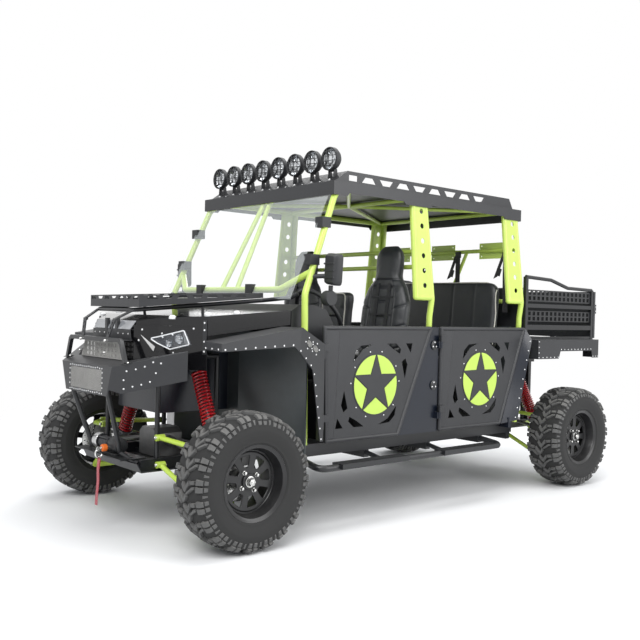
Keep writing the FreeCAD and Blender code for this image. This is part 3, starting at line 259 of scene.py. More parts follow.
@dataclass
class Shape:
    """A mesh that is put together from plain forms and ends as one piece."""

    verts: list[Vector] = field(default_factory=list)
    faces: list[tuple[int, ...]] = field(default_factory=list)

    def add(self, verts: Iterable[Vector], faces: Iterable[Sequence[int]]) -> None:
        """Adds vertices and the faces between them."""
        start = len(self.verts)
        self.verts.extend(Vector(v) for v in verts)
        self.faces.extend(tuple(start + i for i in face) for face in faces)

    def loft(self, rings: Sequence[Points], caps: bool = True) -> None:
        """Skins closed rings of as many points, the first and the last one filled where caps says so."""
        size = len(rings[0])
        faces: list[tuple[int, ...]] = []
        for i in range(len(rings) - 1):
            for j in range(size):
                k = (j + 1) % size
                faces.append((i * size + j, i * size + k, (i + 1) * size + k, (i + 1) * size + j))
        if caps:
            faces.append(tuple(range(size)))
            faces.append(tuple(range((len(rings) - 1) * size, len(rings) * size)))
        self.add([p for ring in rings for p in ring], faces)

    def tube(self, points: Points, radius: float, bend: float = 0.0, sides: int = 16,
             loop: bool = False) -> None:
        """Round bar along a path, its radius and bend in millimetres; no bend keeps the points."""
        path = list(points) if loop or not bend else bent_path(points, bend * MM)
        count = len(path)
        rings = []
        u = None
        for i, here in enumerate(path):
            if loop:
                along = path[(i + 1) % count] - path[i - 1]
            else:
                along = path[min(i + 1, count - 1)] - path[max(i - 1, 0)]
            along.normalize()
            if u is None:
                u = basis(along)[0]
            u = (u - along * u.dot(along)).normalized()
            v = along.cross(u)
            rings.append(circle(here, u, v, radius, sides))
        if loop:
            rings.append(rings[0])
        self.loft(rings, caps=not loop)

    def rod(self, a: Vector, b: Vector, radius: float, sides: int = 16) -> None:
        """Round bar between two points."""
        u, v, _ = basis(b - a)
        self.loft([circle(end, u, v, radius, sides) for end in (a, b)])

    def prism(self, outline: Points, push: Vector) -> None:
        """Extrudes an outline."""
        self.loft([list(outline), [p + push for p in outline]])

    def box(self, low: Vector, high: Vector) -> None:
        """Upright box between two corners."""
        corners = ((low.x, low.y), (high.x, low.y), (high.x, high.y), (low.x, high.y))
        self.prism([Vector((x, y, low.z)) for x, y in corners], Vector((0, 0, high.z - low.z)))

    def boxes(self, *corners: tuple[Sequence[float], Sequence[float]]) -> "Shape":
        """Adds upright boxes.

        Args:
            corners: Lowest and highest corner of each, as at() takes them.

        Returns:
            The shape itself.
        """
        for low, high in corners:
            self.box(at(*low), at(*high))
        return self

    def slab(self, corners: Points, thick: float) -> None:
        """Sheet on coplanar corners, thickened in millimetres along its normal."""
        normal = (corners[1] - corners[0]).cross(corners[2] - corners[0]).normalized()
        self.prism(corners, normal * thick * MM)

    def plate(self, outline: Loop, holes: Sequence[Loop], origin: Vector, u: Vector, v: Vector,
              thick: float, edge: float = 0.8) -> None:
        """Sheet with holes and chamfered edges.

        Args:
            outline: Outer corners in millimetres along u and v.
            holes: Loops inside the outline.
            origin: Where the loops' origin lies.
            u: Direction of the loops' first axis.
            v: Direction of their second axis.
            thick: Thickness along the cross product of u and v, in millimetres.
            edge: Width of the chamfer along every edge.
        """
        u, v = u.normalized(), v.normalized()
        w = u.cross(v).normalized()
        edge = min(edge, abs(thick) * 0.3)
        outer = [list(outline)] + [list(h) for h in holes]
        inner = [inset_loop(outline, edge)] + [inset_loop(h, -edge) for h in holes]
        sign = 1 if thick > 0 else -1
        levels = [(inner, 0), (outer, edge * sign), (outer, thick - edge * sign), (inner, thick)]

        def place(p: Pair, height: float) -> Vector:
            return origin + (u * p[0] + v * p[1] + w * height) * MM

        verts: list[Vector] = []
        faces: list[tuple[int, ...]] = []
        starts = []
        for loops, height in levels:
            begins = []
            for loop in loops:
                begins.append(len(verts))
                verts.extend(place(p, height) for p in loop)
            starts.append(begins)
        for level in range(3):
            for index, loop in enumerate(outer):
                size = len(loop)
                a, b = starts[level][index], starts[level + 1][index]
                for j in range(size):
                    k = (j + 1) % size
                    faces.append((a + j, a + k, b + k, b + j))
        flat = [[Vector((p[0], p[1], 0)) for p in loop] for loop in inner]
        for triangle in tessellate_polygon(flat):
            faces.append(tuple(triangle))
            faces.append(tuple(starts[3][0] + i for i in triangle))
        self.add(verts, faces)

    def revolve(self, profile: Outline, centre: Vector, axis: Vector, steps: int = 48) -> None:
        """Turns a closed profile about an axis.

        Args:
            profile: Points in millimetres, each its distance along the axis and its radius.
            centre: Point on the axis.
            axis: Direction of the axis.
            steps: Steps in the full turn.
        """
        u, v, w = basis(axis)
        rings = []
        for c, s in ring_points(1, steps):
            rings.append([centre + (w * d + (u * c + v * s) * r) * MM for d, r in profile])
        rings.append(rings[0])
        self.loft(rings, caps=False)

    def dome(self, base: Vector, normal: Vector, radius: float, height: float, sides: int = 10) -> None:
        """Domed rivet head standing on a surface, its radius in millimetres."""
        u, v, w = basis(normal)
        foot = base - w * 0.4 * MM
        rings = []
        for share, lift in ((1, 0), (0.94, 0.45), (0.62, 0.85), (0.2, 1)):
            centre = foot + w * (lift * height * radius + 0.4) * MM
            rings.append(circle(centre, u, v, radius * share, sides))
        self.loft(rings)

    def rivets(self, points: Iterable[Vector], normal: Vector, radius: float, height: float = 0.6) -> None:
        """Row of domed rivet heads that share a normal."""
        for point in points:
            self.dome(point, normal, radius, height, 8)

    def strip(self, path: Points, across: Vector, width: float, thick: float) -> None:
        """Flat strap along a path, its width held to one direction, in millimetres."""
        half = ((-1, -0.4), (-0.96, -1), (0.96, -1), (1, -0.4))
        section = half + tuple((-x, -y) for x, y in half)
        side = across.normalized() * width / 2 * MM
        rings = []
        for i, here in enumerate(path):
            ahead = (path[min(i + 1, len(path) - 1)] - path[max(i - 1, 0)]).normalized()
            up = ahead.cross(across).normalized() * thick / 2 * MM
            rings.append([here + side * x + up * y for x, y in section])
        self.loft(rings)

    def hexagon(self, base: Vector, normal: Vector, across: float, height: float) -> None:
        """Hexagon bolt head with a washer, in millimetres."""
        u, v, w = basis(normal)
        self.rod(base, base + w * 1.5 * MM, across * 0.62, 16)
        reach = across / sqrt(3)
        stops = ((1, 1.5), (1, height * 0.8), (0.86, height))
        self.loft([circle(base + w * lift * MM, u, v, reach * share, 6) for share, lift in stops])

    def ball(self, centre: Vector, radius: float, steps: int = 12) -> None:
        """Ball of a radius in millimetres."""
        rings = []
        for i in range(1, steps):
            polar = pi * i / steps
            middle = centre + UP * radius * cos(polar) * MM
            rings.append(circle(middle, LEFT, REAR, radius * sin(polar), steps * 2))
        self.loft(rings)

    def extend(self, other: "Shape", move: Callable[[Vector], Vector] | None = None) -> None:
        """Adds another shape, each point moved where a function is given."""
        self.add([move(p) if move else p for p in other.verts], other.faces)

    def mirrored(self) -> "Shape":
        """This shape with its twin on the other side."""
        both = Shape(list(self.verts), list(self.faces))
        both.extend(self.flipped())
        return both

    def flipped(self) -> "Shape":
        """Only the twin on the other side."""
        return Shape([mirror_x(p) for p in self.verts], [tuple(reversed(f)) for f in self.faces])

    def mesh(self, name: str, weld: bool) -> Mesh:
        """Mesh with its faces turned outward, and near points joined where weld says so."""
        mesh = bpy.data.meshes.new(name)
        mesh.from_pydata([tuple(v) for v in self.verts], [], self.faces)
        work = bmesh.new()
        work.from_mesh(mesh)
        if weld:
            bmesh.ops.remove_doubles(work, verts=work.verts, dist=WELD)
        bmesh.ops.recalc_face_normals(work, faces=work.faces)
        work.to_mesh(mesh)
        work.free()
        return mesh

    def piece(self, name: str, finish: "Finish", body: str = "chassis", replaces: Sequence[str] = (),
              bevel: float = 0.0, smooth: float = SHARP_ANGLE) -> Object:
        """Makes the Blender object of this shape.

        Args:
            name: Name of the piece.
            finish: What it is finished in.
            body: CAD body that it rides on.
            replaces: CAD nodes that it stands for.
            bevel: Width of a bevel on sharp edges in millimetres.
            smooth: Edges that turn more than this stay sharp.

        Returns:
            The object.
        """
        mesh = self.mesh(name, weld=True)
        smoothen(mesh, smooth)
        mesh.materials.append(finish.material())
        thing = shown(name, mesh)
        if bevel:
            add_bevel(thing, bevel)
        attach(thing, body)
        if replaces:
            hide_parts(*replaces)
        LOG.info("%s: %d faces on %s", name, len(mesh.polygons), body)
        return thing


def settle(thing: Object) -> None:
    """Applies every modifier of an object to its mesh."""
    bpy.context.view_layer.update()
    made = bpy.data.meshes.new_from_object(thing.evaluated_get(bpy.context.evaluated_depsgraph_get()))
    thing.modifiers.clear()
    old = thing.data
    thing.data = made
    made.name = thing.name
    bpy.data.meshes.remove(old)


def trapezoids(first: float, count: int, pitch: float, length: float, low: Callable[[float], float],
               height: float) -> list[Loop]:
    """Row of openings, every second one turned over.

    Args:
        first: Where the first one starts.
        count: Number of openings.
        pitch: Distance from one to the next.
        length: Length of the long side.
        low: Gives the lower edge's height at a place along the row.
        height: Height of an opening.

    Returns:
        The corners of each opening.
    """
    lean = height * 0.8
    outlines = []
    for index in range(count):
        start = first + index * pitch
        end = start + length
        foot, head = (0, lean) if index % 2 == 0 else (lean, 0)
        corners = ((start + foot, 0), (end - foot, 0), (end - head, height), (start + head, height))
        outlines.append([(x, low(x) + rise) for x, rise in corners])
    return outlines


def carve(node: str, openings: Shape, name: str, finish: "Finish", body: str = "chassis",
          bevel: float = 0.0) -> None:
    """Stands a copy of a frame node in its place, with openings cut through its sheet.

    Args:
        node: CAD node whose form is kept.
        openings: Closed forms that are taken away from it.
        name: Name of the new piece.
        finish: What it is finished in.
        body: CAD body that it rides on.
        bevel: Width of a bevel on sharp edges in millimetres.
    """
    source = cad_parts[node]
    form = source.data.copy()
    form.transform(source.matrix_world)
    shape = Shape([v.co.copy() for v in form.vertices], [tuple(f.vertices) for f in form.polygons])
    bpy.data.meshes.remove(form)
    thing = shape.piece(name, finish, body, [node])
    knife_mesh = openings.mesh("knife", weld=False)
    knife = shown("knife", knife_mesh)
    cut = thing.modifiers.new("openings", "BOOLEAN")
    cut.operation = "DIFFERENCE"
    cut.solver = "EXACT"
    cut.object = knife
    settle(thing)
    bpy.data.objects.remove(knife)
    bpy.data.meshes.remove(knife_mesh)
    smoothen(thing.data)
    if bevel:
        add_bevel(thing, bevel)


# Finishes

DUST_COLOUR = (0.36, 0.34, 0.31, 1)
BUMP_METRES = 0.001


class Skin(Enum):
    """How a finish breaks up the light."""

    POWDER = "powder"
    SMOOTH = "smooth"
    CAST = "cast"
    RUBBER = "rubber"
    LEATHER = "leather"
    WEAVE = "weave"
    BRUSHED = "brushed"


class Nodes:
    """Short way to place and link the nodes of one tree."""

    def __init__(self, tree: NodeTree) -> None:
        """Works on a tree."""
        self.tree = tree

    def new(self, kind: str, inputs: dict[str | int, object] | None = None, **values: object) -> Node:
        """Adds a node, sets its own properties and feeds its sockets."""
        node = self.tree.nodes.new("ShaderNode" + kind)
        for name, value in values.items():
            setattr(node, name, value)
        return self.wire(node, inputs or {})

    def feed(self, socket: NodeSocket, source: object) -> None:
        """Links a socket to another one, or writes a constant on it."""
        if isinstance(source, NodeSocket):
            self.tree.links.new(source, socket)
        else:
            socket.default_value = source

    def wire(self, node: Node, inputs: dict[str | int, object]) -> Node:
        """Feeds sockets of a node, by name or number, and gives the node back."""
        for key, source in inputs.items():
            self.feed(node.inputs[key], source)
        return node

    def place(self) -> NodeSocket:
        """Coordinates of the object itself."""
        return self.new("TexCoord").outputs["Object"]

    def noise(self, vector: object, scale: object, detail: float, rough: float) -> NodeSocket:
        """Noise over a vector."""
        inputs = {"Vector": vector, "Scale": scale, "Detail": detail, "Roughness": rough}
        return self.new("TexNoise", inputs).outputs["Fac"]

    def maths(self, operation: str, a: object, b: object = 0.5, clamp: bool = False) -> NodeSocket:
        """Arithmetic on one or two values."""
        return self.new("Math", {0: a, 1: b}, operation=operation, use_clamp=clamp).outputs[0]

    def span(self, value: object, low: float, high: float, start: float, end: float) -> NodeSocket:
        """Value mapped from one range to another and held to it."""
        return self.new("MapRange", dict(enumerate((value, low, high, start, end)))).outputs[0]

    def blend(self, share: object, a: object, b: object) -> NodeSocket:
        """Mix of two colours."""
        return self.new("Mix", {"Factor": share, 6: a, 7: b}, data_type="RGBA").outputs[2]

    def mixed(self, share: object, a: object, b: object) -> NodeSocket:
        """Mix of two shaders."""
        return self.new("MixShader", {0: share, 1: a, 2: b}).outputs[0]


class Effects:
    """Shader groups that the finishes share, each built once."""

    made: dict[str, NodeTree] = {}

    @classmethod
    def group(cls, name: str, inputs: Sequence[tuple[str, str, object]], outputs: Sequence[tuple[str, str]],
              fill: Callable[[Nodes, Node, Node], None]) -> NodeTree:
        """The group of that name, built on first use.

        Args:
            name: Group's name.
            inputs: Name, socket type and default of each input.
            outputs: Name and socket type of each output.
            fill: Places the nodes between the group's input and output nodes.

        Returns:
            The node group.
        """
        if name not in cls.made:
            tree = bpy.data.node_groups.new(name, "ShaderNodeTree")
            for label, kind, default in inputs:
                socket = tree.interface.new_socket(label, in_out="INPUT", socket_type=kind)
                socket.default_value = default
            for label, kind in outputs:
                tree.interface.new_socket(label, in_out="OUTPUT", socket_type=kind)
            nodes = Nodes(tree)
            fill(nodes, tree.nodes.new("NodeGroupInput"), tree.nodes.new("NodeGroupOutput"))
            cls.made[name] = tree
        return cls.made[name]

    @classmethod
    def weathering(cls) -> NodeTree:
        """Uneven tone, with dust on what faces up."""

        def fill(n: Nodes, given: Node, out: Node) -> None:
            place = n.place()
            broad = n.noise(place, given.outputs["Scale"], 4, 0.6)
            fine = n.noise(place, n.maths("MULTIPLY", given.outputs["Scale"], 9), 3, 0.6)
            tone = n.maths("ADD", n.maths("MULTIPLY", broad, 0.7), n.maths("MULTIPLY", fine, 0.3))
            level = n.span(tone, 0.3, 0.7, -1, 1)
            change = n.maths("ADD", n.maths("MULTIPLY", level, given.outputs["Drift"]), 1)
            shade = n.new("HueSaturation", {"Value": change, "Color": given.outputs["Colour"]})
            normal = n.new("SeparateXYZ", {0: n.new("NewGeometry").outputs["Normal"]})
            upward = n.span(normal.outputs["Z"], 0.1, 1, 0, 1)
            speckle = n.span(fine, 0.35, 0.65, 0.3, 1)
            dust = n.maths("MULTIPLY", n.maths("MULTIPLY", upward, speckle), given.outputs["Dust"], True)
            n.feed(out.inputs["Colour"], n.blend(dust, shade.outputs[0], DUST_COLOUR))
            n.feed(out.inputs["Mask"], n.maths("ADD", dust, n.maths("MULTIPLY", broad, 0.5), True))

        return cls.group(
            "weathering",
            [("Colour", "NodeSocketColor", (0.5, 0.5, 0.5, 1)), ("Scale", "NodeSocketFloat", 4),
             ("Drift", "NodeSocketFloat", 0.1), ("Dust", "NodeSocketFloat", 0)],
            [("Colour", "NodeSocketColor"), ("Mask", "NodeSocketFloat")],
            fill,
        )

    @classmethod
    def relief(cls, skin: Skin) -> NodeTree:
        """Height of the fine relief that one skin has."""

        def fill(n: Nodes, given: Node, out: Node) -> None:
            place = n.place()
            scale = given.outputs["Scale"]
            if skin in (Skin.LEATHER, Skin.RUBBER):
                cells = n.new("TexVoronoi", {"Vector": place, "Scale": scale}, feature="SMOOTH_F1")
                crease = n.noise(place, n.maths("MULTIPLY", scale, 0.12), 5, 0.6)
                height = n.maths("ADD", cells.outputs["Distance"], n.maths("MULTIPLY", crease, 0.8))
            elif skin is Skin.WEAVE:
                split = n.new("SeparateXYZ", {0: place}).outputs
                waves = [n.maths("SINE", n.maths("MULTIPLY", split[axis], scale), 0) for axis in "XYZ"]
                height = n.maths("MULTIPLY", n.maths("ADD", waves[0], waves[1]), waves[2])
            elif skin is Skin.BRUSHED:
                stretch = n.new("Mapping", {"Vector": place, "Scale": (1, 0.06, 1)})
                height = n.noise(stretch.outputs[0], scale, 2, 0.5)
            else:
                height = n.noise(place, scale, 6 if skin is Skin.CAST else 2, 0.65)
            n.feed(out.inputs["Height"], height)

        return cls.group("relief_" + skin.value, [("Scale", "NodeSocketFloat", 400)],
                         [("Height", "NodeSocketFloat")], fill)


def named_material(name: str, fill: Callable[[Nodes, Node], None]) -> Material:
    """The material of that name, its nodes and shader filled on first use."""
    made = bpy.data.materials.get(name)
    if not made:
        made = bpy.data.materials.new(name)
        made.use_nodes = True
        fill(Nodes(made.node_tree), made.node_tree.nodes["Principled BSDF"])
    return made


@dataclass(frozen=True)
class Finish:
    """An opaque finish of one record slot."""

    name: str
    slot: str
    colour: Colour
    rough: float = 0.5
    metallic: float = 0.0
    coat: float = 0.0
    skin: Skin = Skin.POWDER
    grain: float = 900.0
    depth: float = 0.12
    drift: float = 0.08
    dust: float = 0.0
    specular: float = 0.5
    sheen: float = 0.0

    def material(self) -> Material:
        """The material, built on first use."""
        return named_material(self.name, self.fill)

    def fill(self, n: Nodes, shader: Node) -> None:
        """Sets the shader from the colour, the wear and the relief."""
        wear = {"Colour": (*self.colour, 1), "Scale": 3, "Drift": self.drift, "Dust": self.dust}
        worn = n.new("Group", node_tree=Effects.weathering())
        n.wire(worn, wear)
        roughest = min(1, self.rough * 1.2 + self.dust * 0.2)
        relief = n.new("Group", node_tree=Effects.relief(self.skin))
        n.wire(relief, {"Scale": self.grain})
        bump = n.new("Bump")
        n.wire(bump, {"Strength": self.depth, "Distance": BUMP_METRES, "Height": relief.outputs["Height"]})
        n.wire(shader, {
            "Base Color": worn.outputs["Colour"],
            "Roughness": n.span(worn.outputs["Mask"], 0, 1, self.rough * 0.86, roughest),
            "Metallic": self.metallic, "Specular IOR Level": self.specular,
            "Coat Weight": self.coat, "Coat Roughness": 0.04,
            "Sheen Weight": self.sheen, "Sheen Roughness": 0.4, "Normal": bump.outputs["Normal"],
        })


@dataclass(frozen=True)
class ClearFinish:
    """A clear sheet or lens that lets light through to what is behind it."""

    name: str
    slot: str
    colour: Colour
    haze: float
    rough: float = 0.03

    def material(self) -> Material:
        """The material, built on first use."""
        return named_material(self.name, self.fill)

    def fill(self, n: Nodes, shader: Node) -> None:
        """Sets the shader, its opaque share thicker in places; on the windscreen this pale share is partly
        haze and partly painted reflection.
        """
        smear = n.noise(n.place(), 2.2, 4, 0.6)
        haze = n.span(smear, 0.3, 0.7, self.haze * 0.85, min(1, self.haze * 1.15))
        n.wire(shader, {"Alpha": haze, "Base Color": (*self.colour, 1), "Roughness": self.rough,
                        "Specular IOR Level": 0.6})


LIME = Finish("lime_powder", "lime_paint", (0.52, 0.70, 0.09), 0.34, coat=0.25, depth=0.1, drift=0.07)
LIME_CAGE = Finish("lime_cage_powder", "lime_paint", (0.55, 0.72, 0.13), 0.34, coat=0.25, depth=0.1,
                   drift=0.07)
BLACK = Finish("satin_black_sheet", "satin_black", (0.022, 0.023, 0.026), 0.42, depth=0.16, drift=0.16,
               dust=0.05)
TUBE = Finish("satin_black_tube", "satin_black", (0.014, 0.015, 0.017), 0.34, depth=0.12, drift=0.14,
              dust=0.03)
NAVY = Finish("dark_blue_panel", "satin_black", (0.006, 0.009, 0.017), 0.3, depth=0.1, drift=0.14, dust=0.02)
TRIM = Finish("moulded_trim", "trim_black", (0.016, 0.017, 0.019), 0.55, skin=Skin.CAST, depth=0.2, dust=0.04)
GLOSS = Finish("gloss_black_hood", "gloss_black", (0.006, 0.006, 0.007), 0.12, coat=0.35, skin=Skin.SMOOTH,
               grain=60, depth=0.02, drift=0.1, specular=0.3)
WHEEL = Finish("wheel_enamel", "wheel_black", (0.012, 0.012, 0.013), 0.32, depth=0.06, drift=0.2, dust=0.04)
TYRE = Finish("tyre_rubber", "tyre_rubber", (0.034, 0.034, 0.036), 0.62, skin=Skin.RUBBER, grain=420,
              depth=0.25, drift=0.22, dust=0.2, specular=0.35)
TREAD = Finish("tread_rubber", "tyre_rubber", (0.095, 0.095, 0.094), 0.66, skin=Skin.RUBBER, grain=420,
               depth=0.25, drift=0.22, dust=0.25, specular=0.35)
CAST = Finish("cast_alloy", "cast_grey", (0.2, 0.2, 0.2), 0.45, 0.7, skin=Skin.CAST, depth=0.3, drift=0.25)
DAMPER = Finish("damper_body", "shock_grey", (0.11, 0.11, 0.115), 0.35, 0.6, depth=0.1, drift=0.2)
COIL = Finish("coil_red", "spring_red", (0.46, 0.006, 0.012), 0.3, coat=0.5, depth=0.08, drift=0.1)
STEEL = Finish("bright_steel", "bare_steel", (0.62, 0.62, 0.61), 0.24, 1, skin=Skin.BRUSHED, grain=300,
               depth=0.08, drift=0.12)
MESH = Finish("wire_mesh", "bare_steel", (0.38, 0.375, 0.36), 0.45, 0.4, skin=Skin.BRUSHED, grain=200,
              depth=0.1, drift=0.25)
FLOOR = Finish("moulded_floor", "floor_grey", (0.045, 0.052, 0.055), 0.3, skin=Skin.SMOOTH, grain=40,
               depth=0.1, drift=0.2, dust=0.1)
VINYL = Finish("seat_vinyl", "seat_cover", (0.018, 0.02, 0.023), 0.42, skin=Skin.LEATHER, grain=700,
               depth=0.3, drift=0.15, sheen=0.25)
PIPING = Finish("seat_piping", "seat_cover", (0.6, 0.58, 0.52), 0.55, skin=Skin.LEATHER, grain=800, depth=0.2)
BELT = Finish("belt_webbing", "webbing", (0.012, 0.012, 0.014), 0.6, skin=Skin.WEAVE, grain=2600,
              depth=0.5, sheen=0.3)
LENS = Finish("lamp_reflector", "lamp_glass", (0.66, 0.68, 0.7), 0.12, 1, skin=Skin.SMOOTH, grain=90,
              depth=0.25, drift=0.2)
LAMP_TUBE = Finish("lamp_light_guide", "lamp_glass", (0.86, 0.87, 0.88), 0.25, skin=Skin.SMOOTH, depth=0.02,
                   drift=0.03)
# The windscreen's pale opaque share is partly haze of the sheet and partly a painted reflection of the white
# surroundings.
GLASS = ClearFinish("clear_sheet", "clear_sheet", (0.86, 0.92, 0.93), 0.3)
DARK_GLASS = ClearFinish("lamp_cover", "lamp_glass", (0.2, 0.21, 0.23), 0.35)
STRAP = Finish("strap_weave", "webbing", (0.42, 0.05, 0.07), 0.7, skin=Skin.WEAVE, grain=2600,
               depth=0.5, sheen=0.3)
STOP = Finish("rope_stop", "trim_black", (0.75, 0.16, 0.02), 0.5, skin=Skin.RUBBER, grain=400, depth=0.1)
ROPE = Finish("winch_rope", "webbing", (0.05, 0.05, 0.055), 0.6, skin=Skin.WEAVE, grain=1800, depth=0.5)
TAIL = Finish("tail_lens", "lamp_glass", (0.36, 0.012, 0.012), 0.12, coat=1, skin=Skin.SMOOTH, depth=0.05)
SILVER = Finish("silver_housing", "bare_steel", (0.6, 0.6, 0.6), 0.4, 0.8, depth=0.1, drift=0.12)
# Gloss black cap drawn pale grey: the grey is a painted reflection of the white surroundings.
GLOSS_CAP_PAINTED_REFLECTION = Finish("pale_gloss_cap", "gloss_black", (0.3, 0.31, 0.33), 0.16, coat=1, skin=Skin.SMOOTH, depth=0.03)
# Heads of bright steel, chrome and light metal drawn flat white: the white is partly their light metal and
# partly a painted highlight.
BRIGHT_STEEL_PAINTED_GLINT = Finish("pale_cap", "bare_steel", (0.82, 0.82, 0.82), 0.35, skin=Skin.SMOOTH, depth=0.03)
LIME_DISC = Finish("lime_plate", "lime_paint", (0.50, 0.70, 0.11), 0.45, depth=0.12, drift=0.05)
SEAT_STRAP = Finish("seat_ladder_strap", "seat_cover", (0.012, 0.013, 0.015), 0.55, skin=Skin.WEAVE,
                    grain=2200, depth=0.4)


# Studio

@dataclass
class Studio:
    """Floor, light and the camera where the photograph was taken."""

    camera_x: float = 4318.0
    camera_station: float = -2507.0
    camera_z: float = 1224.0
    yaw: float = 49.265
    pitch: float = 0.575
    roll: float = 1.394
    lens: float = 47.19
    floor_half: float = 60.0
    fade_start: float = 2.6
    fade_end: float = 5.5
    sky: float = 0.62

    def build(self) -> None:
        """Makes the camera, the floor, the lamps and the world."""
        self.place_camera()
        self.lay_floor()
        self.hang_lamps()
        self.light_world()
        scene = bpy.context.scene
        scene.view_settings.view_transform = "Standard"

    def place_camera(self) -> None:
        """Sets the camera from its yaw, pitch and roll."""
        a, e, r = (radians(v) for v in (self.yaw, self.pitch, self.roll))
        ahead = Vector((-sin(a) * cos(e), cos(a) * cos(e), -sin(e)))
        right = Vector((cos(a), sin(a), 0))
        up = right.cross(ahead)
        right_rolled = right * cos(r) + up * sin(r)
        up_rolled = up * cos(r) - right * sin(r)
        data = bpy.data.cameras.new("camera")
        data.lens = self.lens
        data.sensor_width = 36
        data.clip_end = 200
        camera = shown("camera", data)
        turn = Matrix((right_rolled, up_rolled, -ahead)).transposed().to_4x4()
        spot = at(self.camera_x, self.camera_station, self.camera_z)
        camera.matrix_world = Matrix.Translation(spot) @ turn
        bpy.context.scene.camera = camera

    def lay_floor(self) -> None:
        """Lays a plain pale floor that keeps the vehicle's shadow."""
        half = self.floor_half
        corners = [(-half, -half, 0), (half, -half, 0), (half, half, 0), (-half, half, 0)]
        mesh = bpy.data.meshes.new("floor")
        mesh.from_pydata(corners, [], [(0, 1, 2, 3)])
        floor = shown("floor", mesh)
        mesh.materials.append(named_material("studio_floor", self.paper))

    def paper(self, n: Nodes, shader: Node) -> None:
        """Matt white that fades out with the distance from the vehicle."""
        n.wire(shader, {"Base Color": (0.88, 0.88, 0.88, 1), "Roughness": 0.9, "Specular IOR Level": 0.1})
        reach = n.new("VectorMath", {0: n.place()}, operation="LENGTH")
        fade = n.span(reach.outputs["Value"], self.fade_start, self.fade_end, 0, 1)
        clear = n.new("BsdfTransparent").outputs[0]
        n.wire(n.tree.nodes["Material Output"], {"Surface": n.mixed(fade, shader.outputs[0], clear)})

    def hang_lamps(self) -> None:
        """Hangs large soft lamps over and beside the vehicle."""
        for name, spot, size, power in (
            ("key", (3.6, -5, 5.2), 4, 300),
            ("fill", (6, 2.5, 3.4), 4.5, 200),
            ("top", (0, 0.2, 6.5), 5, 260),
            ("back", (-5, 4, 4), 4, 160),
        ):
            data = bpy.data.lights.new(name, "AREA")
            data.shape = "SQUARE"
            data.size = size
            data.energy = power
            lamp = shown(name, data)
            lamp.location = spot
            lamp.rotation_mode = "QUATERNION"
            aim = Vector((0, -0.2, 0.9)) - Vector(spot)
            lamp.rotation_quaternion = aim.to_track_quat("-Z", "Y")

    def light_world(self) -> None:
        """Fills the world with soft light and shows white behind the vehicle."""
        world = bpy.data.worlds.new("studio")
        bpy.context.scene.world = world
        world.use_nodes = True
        n = Nodes(world.node_tree)
        light = n.wire(n.tree.nodes["Background"], {"Color": (0.93, 0.96, 1, 1), "Strength": self.sky})
        white = n.new("Background", {"Color": (1, 1, 1, 1), "Strength": 1})
        path = n.new("LightPath")
        seen = n.maths("MAXIMUM", path.outputs["Is Camera Ray"], path.outputs["Is Transmission Ray"])
        seen = n.maths("MAXIMUM", seen, path.outputs["Is Glossy Ray"])
        surface = n.mixed(seen, light.outputs[0], white.outputs[0])
        n.wire(n.tree.nodes["World Output"], {"Surface": surface})


# Wheels and tyres

class Side(Enum):
    """Side of the vehicle that a piece is on."""

    LEFT = 1
    RIGHT = -1

    @property
    def tag(self) -> str:
        """Name of the side in a piece's name."""
        return self.name.lower()

    def turned(self, shape: Shape) -> Shape:
        """A left side's shape as it is on this side."""
        return shape if self is Side.LEFT else shape.flipped()


